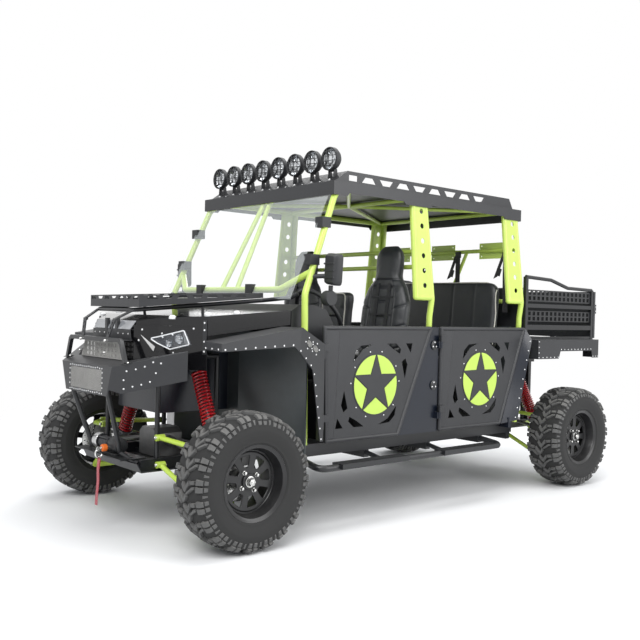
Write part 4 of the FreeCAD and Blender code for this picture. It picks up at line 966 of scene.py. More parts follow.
@dataclass
class Tyre:
    """Mud tyre with arrow lugs, paired shoulder blocks and sidewall steps."""

    radius: float = 355.5
    pitches: int = 20
    lug_height: float = 15.0
    bead_radius: float = 182.0
    taper: float = 2.2
    steps_around: int = 120

    def casing(self) -> Loop:
        """Outer profile of the casing from the crown to the bead, as x and radius."""
        crown = self.radius - self.lug_height
        return [
            (0, crown), (40, crown - 0.5), (78, crown - 3), (98, crown - 8), (112, 327),
            (121, 311), (127, 292), (130.6, 272), (131.6, 268), (131.4, 262), (130.5, 252),
            (128, 236), (124, 222), (119.5, 211), (120, 207), (116, 201), (108, 195),
            (99, 190), (97, self.bead_radius),
        ]

    def point(self, along: float, lift: float) -> Pair:
        """Point of the casing a distance from the crown line, lifted off it.

        Args:
            along: Distance over the casing from its middle, below zero on the inner side.
            lift: Height above the casing.

        Returns:
            Its x and radius.
        """
        sign = -1 if along < 0 else 1
        left = abs(along)
        profile = self.casing()
        for (x0, r0), (x1, r1) in zip(profile, profile[1:]):
            dx, dr = x1 - x0, r1 - r0
            run = hypot(dx, dr)
            if left <= run:
                return sign * (x0 + (dx * left - dr * lift) / run), r0 + (dr * left + dx * lift) / run
            left -= run
        return sign * profile[-1][0], profile[-1][1]

    def spot(self, along: float, around: float, lift: float) -> Vector:
        """Point on the tyre, its way around in millimetres at the crown."""
        x, r = self.point(along, lift)
        angle = around / self.radius
        return Vector((x, r * sin(angle), r * cos(angle))) * MM

    def lug(self, shape: Shape, left: Loop, right: Loop, height: float, start: float, side: float) -> None:
        """One lug between two edges that run together.

        Args:
            shape: Where the lug goes.
            left: Points of one edge, across and around.
            right: Points of the other edge, as many.
            height: Height above the casing.
            start: Place of the lug around the tyre.
            side: 1 on the outer half, -1 on the inner half.
        """
        outline = list(left) + list(reversed(right))
        size = len(outline)
        rings = []
        for inset, lift in ((0, -1.5), (0.7, height - 1.2), (1, height)):
            loop = inset_loop(outline, self.taper * inset) if inset else outline
            rings.append([self.spot(a * side, start + b, lift) for a, b in loop])
        first = len(shape.verts)
        shape.loft(rings, caps=False)
        top = first + 2 * size
        for j in range(len(left) - 1):
            shape.faces.append((top + j, top + j + 1, top + size - 2 - j, top + size - 1 - j))
        shape.faces.append(tuple(range(first, first + size)))

    def tread(self) -> Shape:
        """All lugs, the inner half set half a pitch behind the outer one."""
        high = self.lug_height
        lugs = [
            # Arrow across the middle
            ([(-20, 16), (-4, -9), (12, -20), (31, 6), (43, 18)],
             [(-12, 37), (-2, 18), (8, 8), (27, 32), (38, 45)], high),
            # Hooked lug beside it
            ([(26, -28), (46, -16), (66, -1), (83, 4)], [(24, -13), (43, -1), (63, 15), (83, 20)], high),
            ([(50, 26), (62, 24), (83, 28)], [(47, 42), (60, 45), (82, 47)], high),
        ]
        # Paired shoulder blocks that step down the sidewall
        for low, top in ((-10, 21), (27, 58)):
            lugs.append(([(89, low), (100, low), (112, low + 1), (124, low + 2)],
                         [(89, top), (100, top), (112, top - 1), (124, top - 2)], high - 1))
            lugs.append(([(126, low + 2), (138, low + 3), (150, low + 5)],
                         [(126, top - 2), (138, top - 3), (150, top - 5)], 5.2))
        # Low bar between two pairs
        lugs.append(([(120, 70), (134, 72), (148, 74)], [(120, 88), (134, 86), (148, 84)], 3.4))
        shape = Shape()
        pitch = tau * self.radius / self.pitches
        for index in range(self.pitches):
            for side, offset in ((1, 0), (-1, 0.5)):
                for left, right, height in lugs:
                    self.lug(shape, left, right, height, (index + offset) * pitch, side)
        return shape

    def body(self) -> Shape:
        """Casing about the origin, outer side at +X."""
        shape = Shape()
        inner = [(84, self.bead_radius), (100, 205), (116, 262), (92, 322), (0, 330)]
        outline = self.casing() + inner
        outline += [(-x, r) for x, r in reversed(outline[1:-1])]
        shape.revolve(outline, Vector(), LEFT, self.steps_around)
        return shape


@dataclass
class Wheel:
    """Deep-dish steel wheel with eight windows, its hub and its drilled brake disc."""

    half_width: float = 112.0
    lip_radius: float = 197.0
    seat_radius: float = 180.7
    disc_x: float = 40.0
    disc_thick: float = 10.0
    windows: int = 8
    window_inner: float = 76.0
    window_outer: float = 136.0
    nut_circle: float = 55.0
    rim_steps: int = 96
    brake_x: float = -50.0
    brake_radius: float = 118.0

    def rim(self) -> Shape:
        """Barrel and pressed disc."""
        shape = Shape()
        half, lip, seat = self.half_width, self.lip_radius, self.seat_radius
        well = seat - 13
        outer = [(half, lip - 1), (half - 1.5, lip), (half - 9, lip), (half - 12, lip - 3), (half - 14, seat),
                 (half - 34, seat - 3), (half - 52, well)]
        inner = [(half - 50, well - 6), (half - 30, seat - 9), (half - 14, seat - 7), (half - 8, seat - 4),
                 (half - 4, lip - 8), (half - 1.5, lip - 5)]
        far = [(-x, r) for x, r in reversed(outer)] + [(-x, r) for x, r in reversed(inner)]
        x = self.disc_x
        bowl = [(x, well - 7), (x + 9, well - 6), (x + 9, well - 12), (x + 1, 150), (x + 1, 144),
                (x - 4, 146), (x - 4, well - 10)]
        for profile in (outer + far + inner, bowl):
            shape.revolve(profile, Vector(), LEFT, self.rim_steps)
        holes = []
        spread = 180 / self.windows
        for index in range(self.windows):
            angle = index * 2 * spread + 11
            quad = []
            for radius, share in ((self.window_inner, -0.40), (self.window_inner, 0.40),
                                  (self.window_outer, 0.62), (self.window_outer, -0.62)):
                turn = radians(angle + spread * share)
                quad.append((radius * cos(turn), radius * sin(turn)))
            holes.append(rounded(quad, 9, 5))
        holes.append(ring_points(30, 36))
        shape.plate(ring_points(149, self.rim_steps), holes, mm(x - 2, 0, 0), REAR, UP, self.disc_thick, 1.6)
        boss = [(x - 2, 29), (x + 17, 29), (x + 19, 31), (x + 19, 40), (x + 17, 42), (x + 8, 44), (x - 2, 44)]
        shape.revolve(boss, Vector(), LEFT)
        return shape

    def bright(self) -> Shape:
        """Hexagon cap, its ring and the four nuts."""
        shape = Shape()
        x = self.disc_x + 8
        shape.revolve([(x, 24), (x + 15, 24), (x + 16, 26), (x + 15, 28.6), (x, 28.6)], Vector(), LEFT, 40)
        shape.rod(mm(x - 30, 0, 0), mm(x + 6, 0, 0), 24, 24)
        shape.hexagon(mm(x + 5, 0, 0), LEFT, 38, 30)
        shape.dome(mm(x + 35, 0, 0), LEFT, 13, 0.5, 16)
        for y, z in ring_points(self.nut_circle, 4, 33):
            shape.rod(mm(x, y, z), mm(x + 3, y, z), 11.5, 18)
            shape.hexagon(mm(x + 2, y, z), LEFT, 18, 15)
            shape.dome(mm(x + 16.6, y, z), LEFT, 7.5, 0.7, 12)
        return shape

    def hub(self) -> Shape:
        """Spindle and flange behind the disc."""
        shape = Shape()
        profile = [(-78, 0.1), (-78, 27), (-46, 27), (-44, 50), (-38, 52), (-6, 52), (-4, 44), (26, 40),
                   (38, 48), (38, 0.1)]
        shape.revolve(profile, Vector(), LEFT, 40)
        return shape

    def brake(self) -> Shape:
        """Drilled brake disc."""
        shape = Shape()
        holes = [ring_points(52, 40)]
        for radius, count, start in ((68, 16, 0), (84, 16, 9), (101, 20, 3)):
            for centre in ring_points(radius, count, start):
                holes.append(shifted(ring_points(4.2, 10), *centre))
        shape.plate(ring_points(self.brake_radius, 72), holes, mm(self.brake_x, 0, 0), REAR, UP, 6, 0.5)
        return shape


class RunningGear:
    """The four corners: tyres, wheels, hubs and brake discs."""

    track_half: float = 837.0
    axle_height: float = 355.5
    rear_turn: float = 7.0

    def build(self) -> None:
        """Makes every corner."""
        tyre, wheel = Tyre(), Wheel()
        forms = (
            ("mud_tyre", tyre.body(), TYRE, "tyre"), ("mud_lugs", tyre.tread(), TREAD, ""),
            ("rim", wheel.rim(), WHEEL, "wheel"), ("hub_cap", wheel.bright(), STEEL, ""),
            ("hub", wheel.hub(), CAST, ""), ("brake_disc", wheel.brake(), STEEL, ""),
        )
        for axle, station, turn in (("front", 0, 0), ("rear", REAR_AXLE, self.rear_turn)):
            spin = Matrix.Rotation(radians(turn), 3, "X")
            for side in Side:
                centre = at(side.value * self.track_half, station, self.axle_height)
                place = f"{axle}_{side.tag}"
                for form, shape, finish, node in forms:
                    placed = Shape()
                    placed.extend(side.turned(shape), lambda p: spin @ p + centre)
                    replaces = [f"{node}_{place}"] if node else []
                    placed.piece(f"{form}_{place}", finish, f"{place}_wheel", replaces)


# Nose

SHORTEST_WIRE = 4


def wire_net(shape: Shape, outline: Points, pitch: float, wire: float, angle: float = 45.0) -> None:
    """Crossed wires inside a flat convex outline.

    Args:
        shape: Where the wires go.
        outline: Coplanar corners in metres.
        pitch: Distance between wires in millimetres.
        wire: Radius of a wire in millimetres.
        angle: Lean of the wires in degrees.
    """
    middle = sum(outline, Vector()) / len(outline)
    u = (outline[1] - outline[0]).normalized()
    v = u.cross(outline[2] - outline[1]).normalized().cross(u)
    flat = [Vector(((p - middle).dot(u), (p - middle).dot(v))) for p in outline]
    count = int(max(p.length for p in flat) / (pitch * MM))
    for lean in (radians(angle), radians(angle + 90)):
        along = Vector((cos(lean), sin(lean)))
        across = Vector((-along.y, along.x))
        for index in range(-count, count + 1):
            start = across * index * pitch * MM
            cuts = []
            for a, b in zip(flat, flat[1:] + flat[:1]):
                side_a, side_b = (a - start).dot(across), (b - start).dot(across)
                if side_a * side_b < 0:
                    cuts.append((a.lerp(b, side_a / (side_a - side_b)) - start).dot(along))
            if len(cuts) == 2 and abs(cuts[0] - cuts[1]) > SHORTEST_WIRE * MM:
                ends = [start + along * cut for cut in cuts]
                shape.rod(*(middle + u * end.x + v * end.y for end in ends), wire, 4)


@dataclass
class Nose:
    """Bumper, guard, lamps and the trim of the front end."""

    face: float = -475.0
    mesh_half: float = 190.0
    mesh_low: float = 770.0
    mesh_high: float = 885.0
    net: float = -389.4
    rivet: float = 4.5
    tray_front: float = -316.0
    tray_rear: float = 392.0
    tray_front_top: float = 1289.0
    tray_rear_top: float = 1323.0
    wing_rivets: tuple[Pair, ...] = (
        (0.21, 0.755), (0.33, 0.755), (0.445, 0.78), (0.55, 0.875), (0.655, 0.78), (0.6, 0.48), (0.535, 0.22),
        (0.43, 0.18), (0.32, 0.17), (0.21, 0.153), (0.19, 0.46),
    )
    lamp_outline: tuple[Pair, ...] = (
        (300, 1058), (330, 1033), (407, 1003), (523, 1033), (489, 1106), (330, 1066),
    )

    def build(self) -> None:
        """Makes every piece of the nose."""
        self.bumper_rivets().piece("bumper_rivets", BRIGHT_STEEL_PAINTED_GLINT)
        self.bumper_mesh().piece("bumper_mesh", MESH)
        self.grille_mesh().piece("grille_mesh", MESH)
        self.guard().piece("guard_hoop", TUBE, replaces=["brush_guard"], bevel=1.5)
        self.guard_bolts().piece("guard_bolts", STEEL)
        self.nose_plate().piece("nose_plate", BLACK, bevel=1)
        self.nose_cap().piece("nose_cap", GLOSS_CAP_PAINTED_REFLECTION, bevel=1.5)
        self.nose_rivets().piece("nose_rivets", BRIGHT_STEEL_PAINTED_GLINT)
        self.light_guides().mirrored().piece("lamp_borders", LAMP_TUBE)
        self.reflectors().mirrored().piece("lamp_bowls", LENS)
        self.wedges().mirrored().piece("nose_wedges", SILVER, bevel=1)
        self.straps().mirrored().piece("nose_straps", TUBE, bevel=1)
        self.strap_bolts().mirrored().piece("nose_bolts", BRIGHT_STEEL_PAINTED_GLINT)
        self.hood_stops().mirrored().piece("hood_stops", BRIGHT_STEEL_PAINTED_GLINT)
        carve("front_bumper", self.recess(), "bumper_shell", BLACK, "chassis", 1.5)
        carve("grille", self.grille_slots(), "grille_plate", MESH)
        carve("hood_rack", self.tray_slots(), "tray_shell", BLACK, "chassis", 0.8)
        self.tray_bars().mirrored().piece("tray_bars", TUBE, replaces=["rack_tubes"])
        self.tray_arms().mirrored().piece("tray_arms", BLACK)
        self.apron().piece("front_apron", NAVY, bevel=1)

    def wall(self, x: float) -> float:
        """Station of the fascia's wall at an x."""
        far = abs(x)
        if far > 330:
            return -218 + (far - 330) * 123 / 290
        return -312 + (max(far, 232) - 232) * 94 / 98

    def on_wall(self, x: float, z: float, behind: float = 0.0) -> Vector:
        """Point a distance behind the fascia's wall."""
        return at(x, self.wall(x) + behind, z)

    def wall_normal(self, x: float) -> Vector:
        """Outward normal of the fascia's wall at an x."""
        ahead = self.wall(abs(x) + 1) - self.wall(abs(x) - 1)
        normal = Vector((ahead, -2, 0)).normalized()
        return normal if x > 0 else mirror_x(normal)

    def bumper_rivets(self) -> Shape:
        """Rivets round the mesh and the ovals of rivets on both wings."""
        shape, side = Shape(), Shape()
        for z in (894, 761):
            row = [at(-195 + 26 * i, self.face, z + (2 if i % 4 == 1 else -1)) for i in range(16)]
            shape.rivets(row, FRONT, self.rivet, 0.5)
        for x in (-199, 199):
            shape.rivets([at(x, self.face, 790 + 27 * i) for i in range(4)], FRONT, self.rivet, 0.5)
        a, b = at(307, self.face, 908), at(600, -197, 1002)
        c, d = at(600, -197, 849), at(250, self.face, 749)
        normal = (b - a).cross(a - d).normalized()
        for u, v in self.wing_rivets:
            side.dome(d.lerp(c, u).lerp(a.lerp(b, u), v), normal, 5, 0.55, 10)
        shape.extend(side.mirrored())
        return shape

    def bumper_mesh(self) -> Shape:
        """Expanded metal in the bumper's face."""
        shape = Shape()
        x, low, high, s = self.mesh_half, self.mesh_low, self.mesh_high, self.face + 1.1
        corners = [at(-x, s, low), at(x, s, low), at(x, s, high), at(-x, s, high)]
        wire_net(shape, corners, 7.5, 1, 30)
        return shape

    def grille_mesh(self) -> Shape:
        """Fine net over the grille."""
        shape = Shape()
        corners = [at(x, self.net, z) for x, z in ((-238, 945), (238, 945), (199, 1034), (-199, 1034))]
        wire_net(shape, corners, 6, 1, 35)
        return shape

    def bar(self, shape: Shape, path: Points, wide: float, deep: float) -> None:
        """Square bar along a path that lies across the vehicle."""
        section = [(wide / 2 * x, deep / 2 * y) for x, y in ((-1, -1), (1, -1), (1, 1), (-1, 1))]
        rings = []
        for i, here in enumerate(path):
            before = (here - path[i - 1]).normalized() if i else (path[1] - here).normalized()
            after = (path[i + 1] - here).normalized() if i < len(path) - 1 else before
            across = (before + after).cross(REAR).normalized()
            grow = 1 / max(0.5, sqrt((1 + before.dot(after)) / 2))
            rings.append([here + across * x * grow * MM + REAR * y * MM for x, y in section])
        shape.loft(rings)

    def guard(self) -> Shape:
        """Hoop of square bar on the bumper's deck."""
        shape = Shape()
        half = ((352, -421, 927), (306, -424, 1034), (290, -424, 1046))
        self.bar(shape, [at(-x, s, z) for x, s, z in half] + [at(*p) for p in reversed(half)], 23, 22)
        for x in (-352, 352):
            corners = ((-30, -436, 923), (30, -436, 923), (30, -398, 936), (-30, -398, 936))
            shape.slab([at(x + dx, s, z) for dx, s, z in corners], 3)
        return shape

    def guard_bolts(self) -> Shape:
        """Bolts of the guard's feet and of the tray's front arms."""
        shape = Shape()
        for x in (-372, -334, 334, 372):
            shape.hexagon(at(x, -417, 930), UP, 11, 7)
        for x in (-150, 150):
            shape.hexagon(at(x, -436, 1040), FRONT, 15, 9)
            shape.hexagon(at(x - 12, -434, 975), FRONT, 11, 7)
        return shape

    def nose_plate(self) -> Shape:
        """Folded plate across the nose below the cap, and its two brackets."""
        shape = Shape()
        for (low_x, *low), (high_x, *high) in (((226, -320, 1040), (222, -326, 1100)),
                                               ((210, -384, 1036), (226, -316, 1043))):
            shape.slab([at(-low_x, *low), at(low_x, *low), at(high_x, *high), at(-high_x, *high)], 4)
        for x in (-60, 60):
            shape.box(at(x - 14, -330, 1092), at(x + 14, -312, 1160))
        return shape

    def nose_cap(self) -> Shape:
        """Slanted gloss black cap over the front of the hood, its pale grey a painted reflection."""
        shape = Shape()
        shape.prism([at(-214, -328, 1102), at(214, -328, 1102), at(232, -301, 1151), at(-232, -301, 1151)],
                    Vector((0, 0.004, -0.001)))
        return shape

    def nose_rivets(self) -> Shape:
        """Two threes of rivets on the plate."""
        shape = Shape()
        shape.rivets([at(x, -328, 1078) for x in (-198, -140, -82, 82, 140, 198)], FRONT, self.rivet)
        return shape

    def light_guides(self) -> Shape:
        """White border of the headlamp."""
        shape = Shape()
        path = [self.on_wall(x, z, -6.5) for x, z in rounded(self.lamp_outline, 7, 3)]
        shape.tube(path, 3.6, 0, 8, loop=True)
        for share in (0.3, 0.62):
            x, z = Vector((300, 1058)).lerp(Vector((489, 1106)), share)
            shape.tube([self.on_wall(x, z, -6), self.on_wall(x + 8, z - 9, -6)], 4.5, 0, 8)
        return shape

    def reflectors(self) -> Shape:
        """Bowls and ribs behind the headlamp's cover."""
        shape = Shape()
        for x, z, r in ((392, 1036, 21), (452, 1060, 25)):
            normal = self.wall_normal(x)
            centre = self.on_wall(x, z, 3)
            bowl = [(0, r), (-6, r - 3), (-10, r / 2), (-10, 0.1), (-12, 0.1), (-12, r / 2), (-8, r - 1)]
            shape.revolve(bowl, centre, normal, 24)
            shape.ball(centre - normal * 2 * MM, 8, 8)
        for i in range(5):
            x = 490 + i * 6
            shape.rod(self.on_wall(x, 1034 + i, 2), self.on_wall(x - 12, 1092 - i * 4, 2), 2.2, 6)
        return shape

    def wedges(self) -> Shape:
        """Bright wedge beside the headlamp."""
        shape = Shape()
        corners = [at(262, -287, 1077), at(322, -231, 1014), at(316, -237, 987)]
        shape.prism(corners, self.wall_normal(290) * 4 * MM)
        return shape

    def straps(self) -> Shape:
        """Upright straps where the hood, the fascia and the fender meet."""
        shape = Shape()
        normal = self.wall_normal(560)
        for near, far, rise, thick in ((596, 619, mm(0, 0, 178), 4), (338, 362, mm(-30, -12, 5), 3)):
            a, b = self.on_wall(near, 985, -1), self.on_wall(far, 985, -1)
            shape.prism([a, b, b + rise, a + rise], normal * thick * MM)
        return shape

    def strap_bolts(self) -> Shape:
        """Bolts of the straps, the fascia and the hood's corner."""
        shape = Shape()
        for x, z in ((607, 1150), (607, 1112), (607, 1052), (607, 1000), (422, 985), (265, 1104), (252, 1046),
                     (540, 1118), (352, 1086)):
            shape.dome(self.on_wall(x, z, -4 if x > 590 else 0), self.wall_normal(x), 5.5, 0.7, 10)
        return shape

    def hood_stops(self) -> Shape:
        """Chrome domed caps along the hood's edge, drawn white as a painted reflection."""
        shape = Shape()
        for x, station, z in ((405, -178, 1171), (505, -20, 1190), (575, 120, 1202)):
            shape.rod(at(x, station, z - 6), at(x, station, z), 20, 20)
            shape.dome(at(x, station, z), UP, 20, 0.8, 20)
        return shape

    def recess(self) -> Shape:
        """Shallow bed of the mesh in the bumper's face."""
        half, face = self.mesh_half, self.face
        return Shape().boxes(((-half, face - 1, self.mesh_low), (half, face + 2, self.mesh_high)))

    def grille_slots(self) -> Shape:
        """Three rows of nine openings."""
        shape = Shape()
        low = min(v.co.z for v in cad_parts["grille"].data.vertices) / MM
        rows, columns, bar = 3, 9, 8
        pitch_x, pitch_z = 380 / columns, (1024 - low) / rows
        for row in range(rows):
            z = low + bar + row * pitch_z
            for column in range(columns):
                x = (column - columns / 2) * pitch_x
                shape.box(at(x + 5, -390, z), at(x + pitch_x - 5, -378, z + pitch_z - bar))
        return shape

    def tray_slots(self) -> Shape:
        """Slots in the tray's side walls and its front wall."""
        shape = Shape()
        slope = (self.tray_rear_top - self.tray_front_top) / (self.tray_rear - self.tray_front)

        def low(station: float) -> float:
            return self.tray_front_top - 22 + (station - self.tray_front) * slope

        row = (7, 84, 62)
        for outline in trapezoids(self.tray_front + 40, *row, low, 16):
            shape.prism([at(-500, s, z) for s, z in outline], LEFT)
        for outline in trapezoids(-283, *row, lambda x: low(self.tray_front), 16):
            shape.prism([at(x, self.tray_front - 1, z) for x, z in outline], REAR * 6 * MM)
        return shape

    def tray_bars(self) -> Shape:
        """Tube under the tray's edge and its stay."""
        shape = Shape()
        path = ((0, -303, 1209), (215, -303, 1209), (440, 392, 1280), (640, 447, 1300), (675, 462, 1322))
        shape.tube([at(*p) for p in path], 12, 40)
        shape.rod(at(330, 60, 1252), at(330, 60, 1190), 9)
        return shape

    def tray_arms(self) -> Shape:
        """Slotted flat bars from the tray's edge down to the guard."""
        shape = Shape()
        knee = at(178, -397, 1152)
        for a, b in ((at(208, -303, 1205), knee), (knee, at(150, -420, 1058))):
            along = (b - a).normalized()
            length = (b - a).length / MM
            holes = []
            for share in (0.14, 0.42, 0.7):
                start, end = length * share, length * (share + 0.16)
                holes.append(rounded([(start, -4), (end, -4), (end, 4), (start, 4)], 3.5, 3))
            outline = [(-4, -15), (length + 4, -15), (length + 4, 15), (-4, 15)]
            shape.plate(outline, holes, a, along, LEFT - along * along.x, 8)
        shape.rod(knee - LEFT * 15 * MM, knee + LEFT * 15 * MM, 8)
        return shape

    def apron(self) -> Shape:
        """Sheets that close the front frame under the hood."""
        half, front, low, high = 236, -150, 640, 985
        walls = (((x - 2, front, low), (x + 2, 430, high)) for x in (-half, half))
        return Shape().boxes(*walls, ((-half, front, low), (half, front + 4, high - 60)))


# Fenders, doors and side panels

@dataclass
class Fender:
    """Rivets and mesh windows of a front fender."""

    side_x: float = 850.0
    turn_station: float = 350.0
    slope: float = 56 / 225
    pitch: float = 64.0

    def x_at(self, station: float) -> float:
        """Outer face's x at a station."""
        return self.side_x - max(0, station - self.turn_station) * self.slope

    def on_face(self, station: float, z: float) -> Vector:
        """Point of the outer face."""
        return at(self.x_at(station), station, z)

    def normal(self, station: float) -> Vector:
        """Normal of the outer face."""
        return LEFT if station < self.turn_station else Vector((0.970, 0.2415, 0))

    def build(self) -> None:
        """Makes the rivets, meshes and rims of both fenders."""
        rivets, net, rim = Shape(), Shape(), Shape()
        squash = Vector((1.15, 0.78))
        line = [(-143, 1021), (296, 1042), (318, 1038), (470, 908), (552, 508)]
        for point in spaced([at(0, s, z) for s, z in line], self.pitch, 6):
            station = point.y / MM - FRONT_AXLE_Y
            rivets.dome(self.on_face(station, point.z / MM), self.normal(station), 5, 0.6, 10)
        rivets.rivets([at(x, -127 - (x - 640) * 32 / 210, 1022) for x in (662, 738, 814)], FRONT, 5)
        for station, z, start in ((425, 1048, 50), (481, 1019, 20)):
            normal = self.normal(station)
            centre = self.on_face(station, z) + normal * 0.3 * MM
            u = (self.on_face(station + 10, z - 6) - self.on_face(station, z)).normalized()
            v = normal.cross(u)
            oval = circle(centre, u * squash.x, v * squash.y, 24, 20)
            wire_net(net, oval, 4, 0.8, 40)
            rim.tube([p + normal * 0.6 * MM for p in oval], 1.6, 0, 6, loop=True)
            for x, y in ring_points(36, 5, start):
                rivets.dome(centre + u * x * MM + v * y * 0.86 * MM, normal, 4.5, 0.6, 10)
        rivets.mirrored().piece("fender_rivets", BRIGHT_STEEL_PAINTED_GLINT)
        net.mirrored().piece("fender_nets", MESH)
        rim.mirrored().piece("fender_net_rims", TUBE)


@dataclass
class DoorTrim:
    """Ornament, rivets and folded front edge of one door."""

    tag: str
    disc_station: float
    front_top: float
    front_foot: float
    star_z: float = 797.0
    rim: float = 177.0
    disc_radius: float = 184.0
    notch: float = 0.39
    panel_x: float = 748.5
    disc_x: float = 751.0
    cutouts: tuple[tuple[Pair, ...], ...] = (
        ((252, 154), (274, 112), (252, 26), (222, 131)),
        ((90, 244), (171, 244), (214, 207), (205, 180), (140, 212)),
        ((256, 244), (315, 244), (301, 184)),
        ((-31, 240), (-126, 233), (-171, 194), (-183, 135), (-108, 210)),
    )

    def tips(self) -> range:
        """Angles of the star's five tips."""
        return range(90, 90 + 360, 72)

    def spot(self, x: float, radius: float, angle: float) -> Vector:
        """Point about the disc's centre."""
        turn = radians(angle)
        return at(x, self.disc_station + radius * cos(turn), self.star_z + radius * sin(turn))

    def segments(self) -> Shape:
        """Five painted plates between the arms of the star."""
        shape = Shape()
        gap, steps = 2.2, 18
        for start in self.tips():
            arc = [start + gap + (72 - 2 * gap) * i / steps for i in range(steps + 1)]
            ring = [self.spot(self.disc_x, self.rim, angle) for angle in arc]
            ring.append(self.spot(self.disc_x, self.notch * self.disc_radius + 6, start + 36))
            shape.prism(ring, LEFT * 1.6 * MM)
        return shape

    def star(self) -> Shape:
        """Raised five-pointed star whose tips reach the rim of the disc."""
        shape = Shape()
        ring = []
        for tip in self.tips():
            ring.append(self.spot(self.disc_x - 0.5, self.disc_radius * 0.98, tip))
            ring.append(self.spot(self.disc_x - 0.5, self.disc_radius * self.notch, tip + 36))
        shape.prism(ring, LEFT * 3.5 * MM)
        return shape

    def openings(self) -> Shape:
        """Cut-outs round the disc, each with its twin across the centre."""
        shape = Shape()
        for outline in self.cutouts:
            for turn in (1, -1):
                corners = [at(715, self.disc_station + turn * s, self.star_z + turn * z) for s, z in outline]
                shape.prism(corners, LEFT * 60 * MM)
        return shape

    def rivets(self) -> Shape:
        """Rivets round the disc."""
        shape = Shape()
        for tip in self.tips():
            for lean in (-14, 14):
                shape.dome(self.spot(self.panel_x, 201, tip + lean), LEFT, 4.4, 0.6, 10)
        return shape

    def facet(self) -> Shape:
        """Folded edge along the front of the panel."""
        shape = Shape()
        x, hem = self.panel_x, 26
        rings = []
        for front, wide, z in ((self.front_top + hem, 96, 1120), (self.front_foot + hem, 36, 501)):
            section = ((-0.5, 0), (0.6, 0), (5.5, wide), (-0.5, wide + 8))
            rings.append([at(x + out, front + back, z) for out, back in section])
        shape.loft(rings)
        return shape

    def build(self) -> None:
        """Makes the trim of the left door and its twin, and cuts both panels."""
        for side in Side:
            body = f"door_{self.tag[0]}{side.tag[0]}"
            place = f"{self.tag}_{side.tag}"
            for name, shape, finish, bevel in (
                ("star_segments", self.segments(), LIME_DISC, 0), ("door_rivets", self.rivets(), BRIGHT_STEEL_PAINTED_GLINT, 0),
                ("door_fold", self.facet(), BLACK, 0.6), ("door_star", self.star(), BLACK, 0.8),
            ):
                side.turned(shape).piece(f"{name}_{place}", finish, body, bevel=bevel)
            carve(f"door_{place}", side.turned(self.openings()), f"door_panel_{place}", BLACK, body, 0.8)


class SideTrim:
    """Latch plates between the doors and the rivets of the rear quarters."""

    def build(self) -> None:
        """Makes the trim of both sides."""
        shape, plates = Shape(), Shape()
        latch = 1537
        for z in (773, 1028):
            plates.box(at(741, latch - 14, z - 26), at(746, latch + 14, z + 26))
            plates.revolve([(0, 0.1), (0, 30), (2.5, 30), (3.5, 28), (3.5, 0.1)], at(746, latch, z), LEFT, 28)
            for y, dz in ring_points(18, 3, 90):
                shape.dome(at(749.3, latch + y, z + dz), LEFT, 5, 0.7, 10)
        a, b = at(745, 2499, 1140), at(745, 2248, 478)
        c, d = at(800, 2508, 1060), at(792, 2372, 500)
        for i in range(9):
            share = 0.04 + i * 0.115
            outer, inner = c.lerp(d, share), a.lerp(b, share)
            normal = (d - c).cross(inner - outer).normalized()
            shape.dome(outer.lerp(inner, 0.16), normal if normal.x > 0 else -normal, 4.5, 0.6, 10)
        shape.mirrored().piece("side_rivets", BRIGHT_STEEL_PAINTED_GLINT)
        plates.mirrored().piece("latch_discs", TUBE)


# Roof, lamps and mirrors

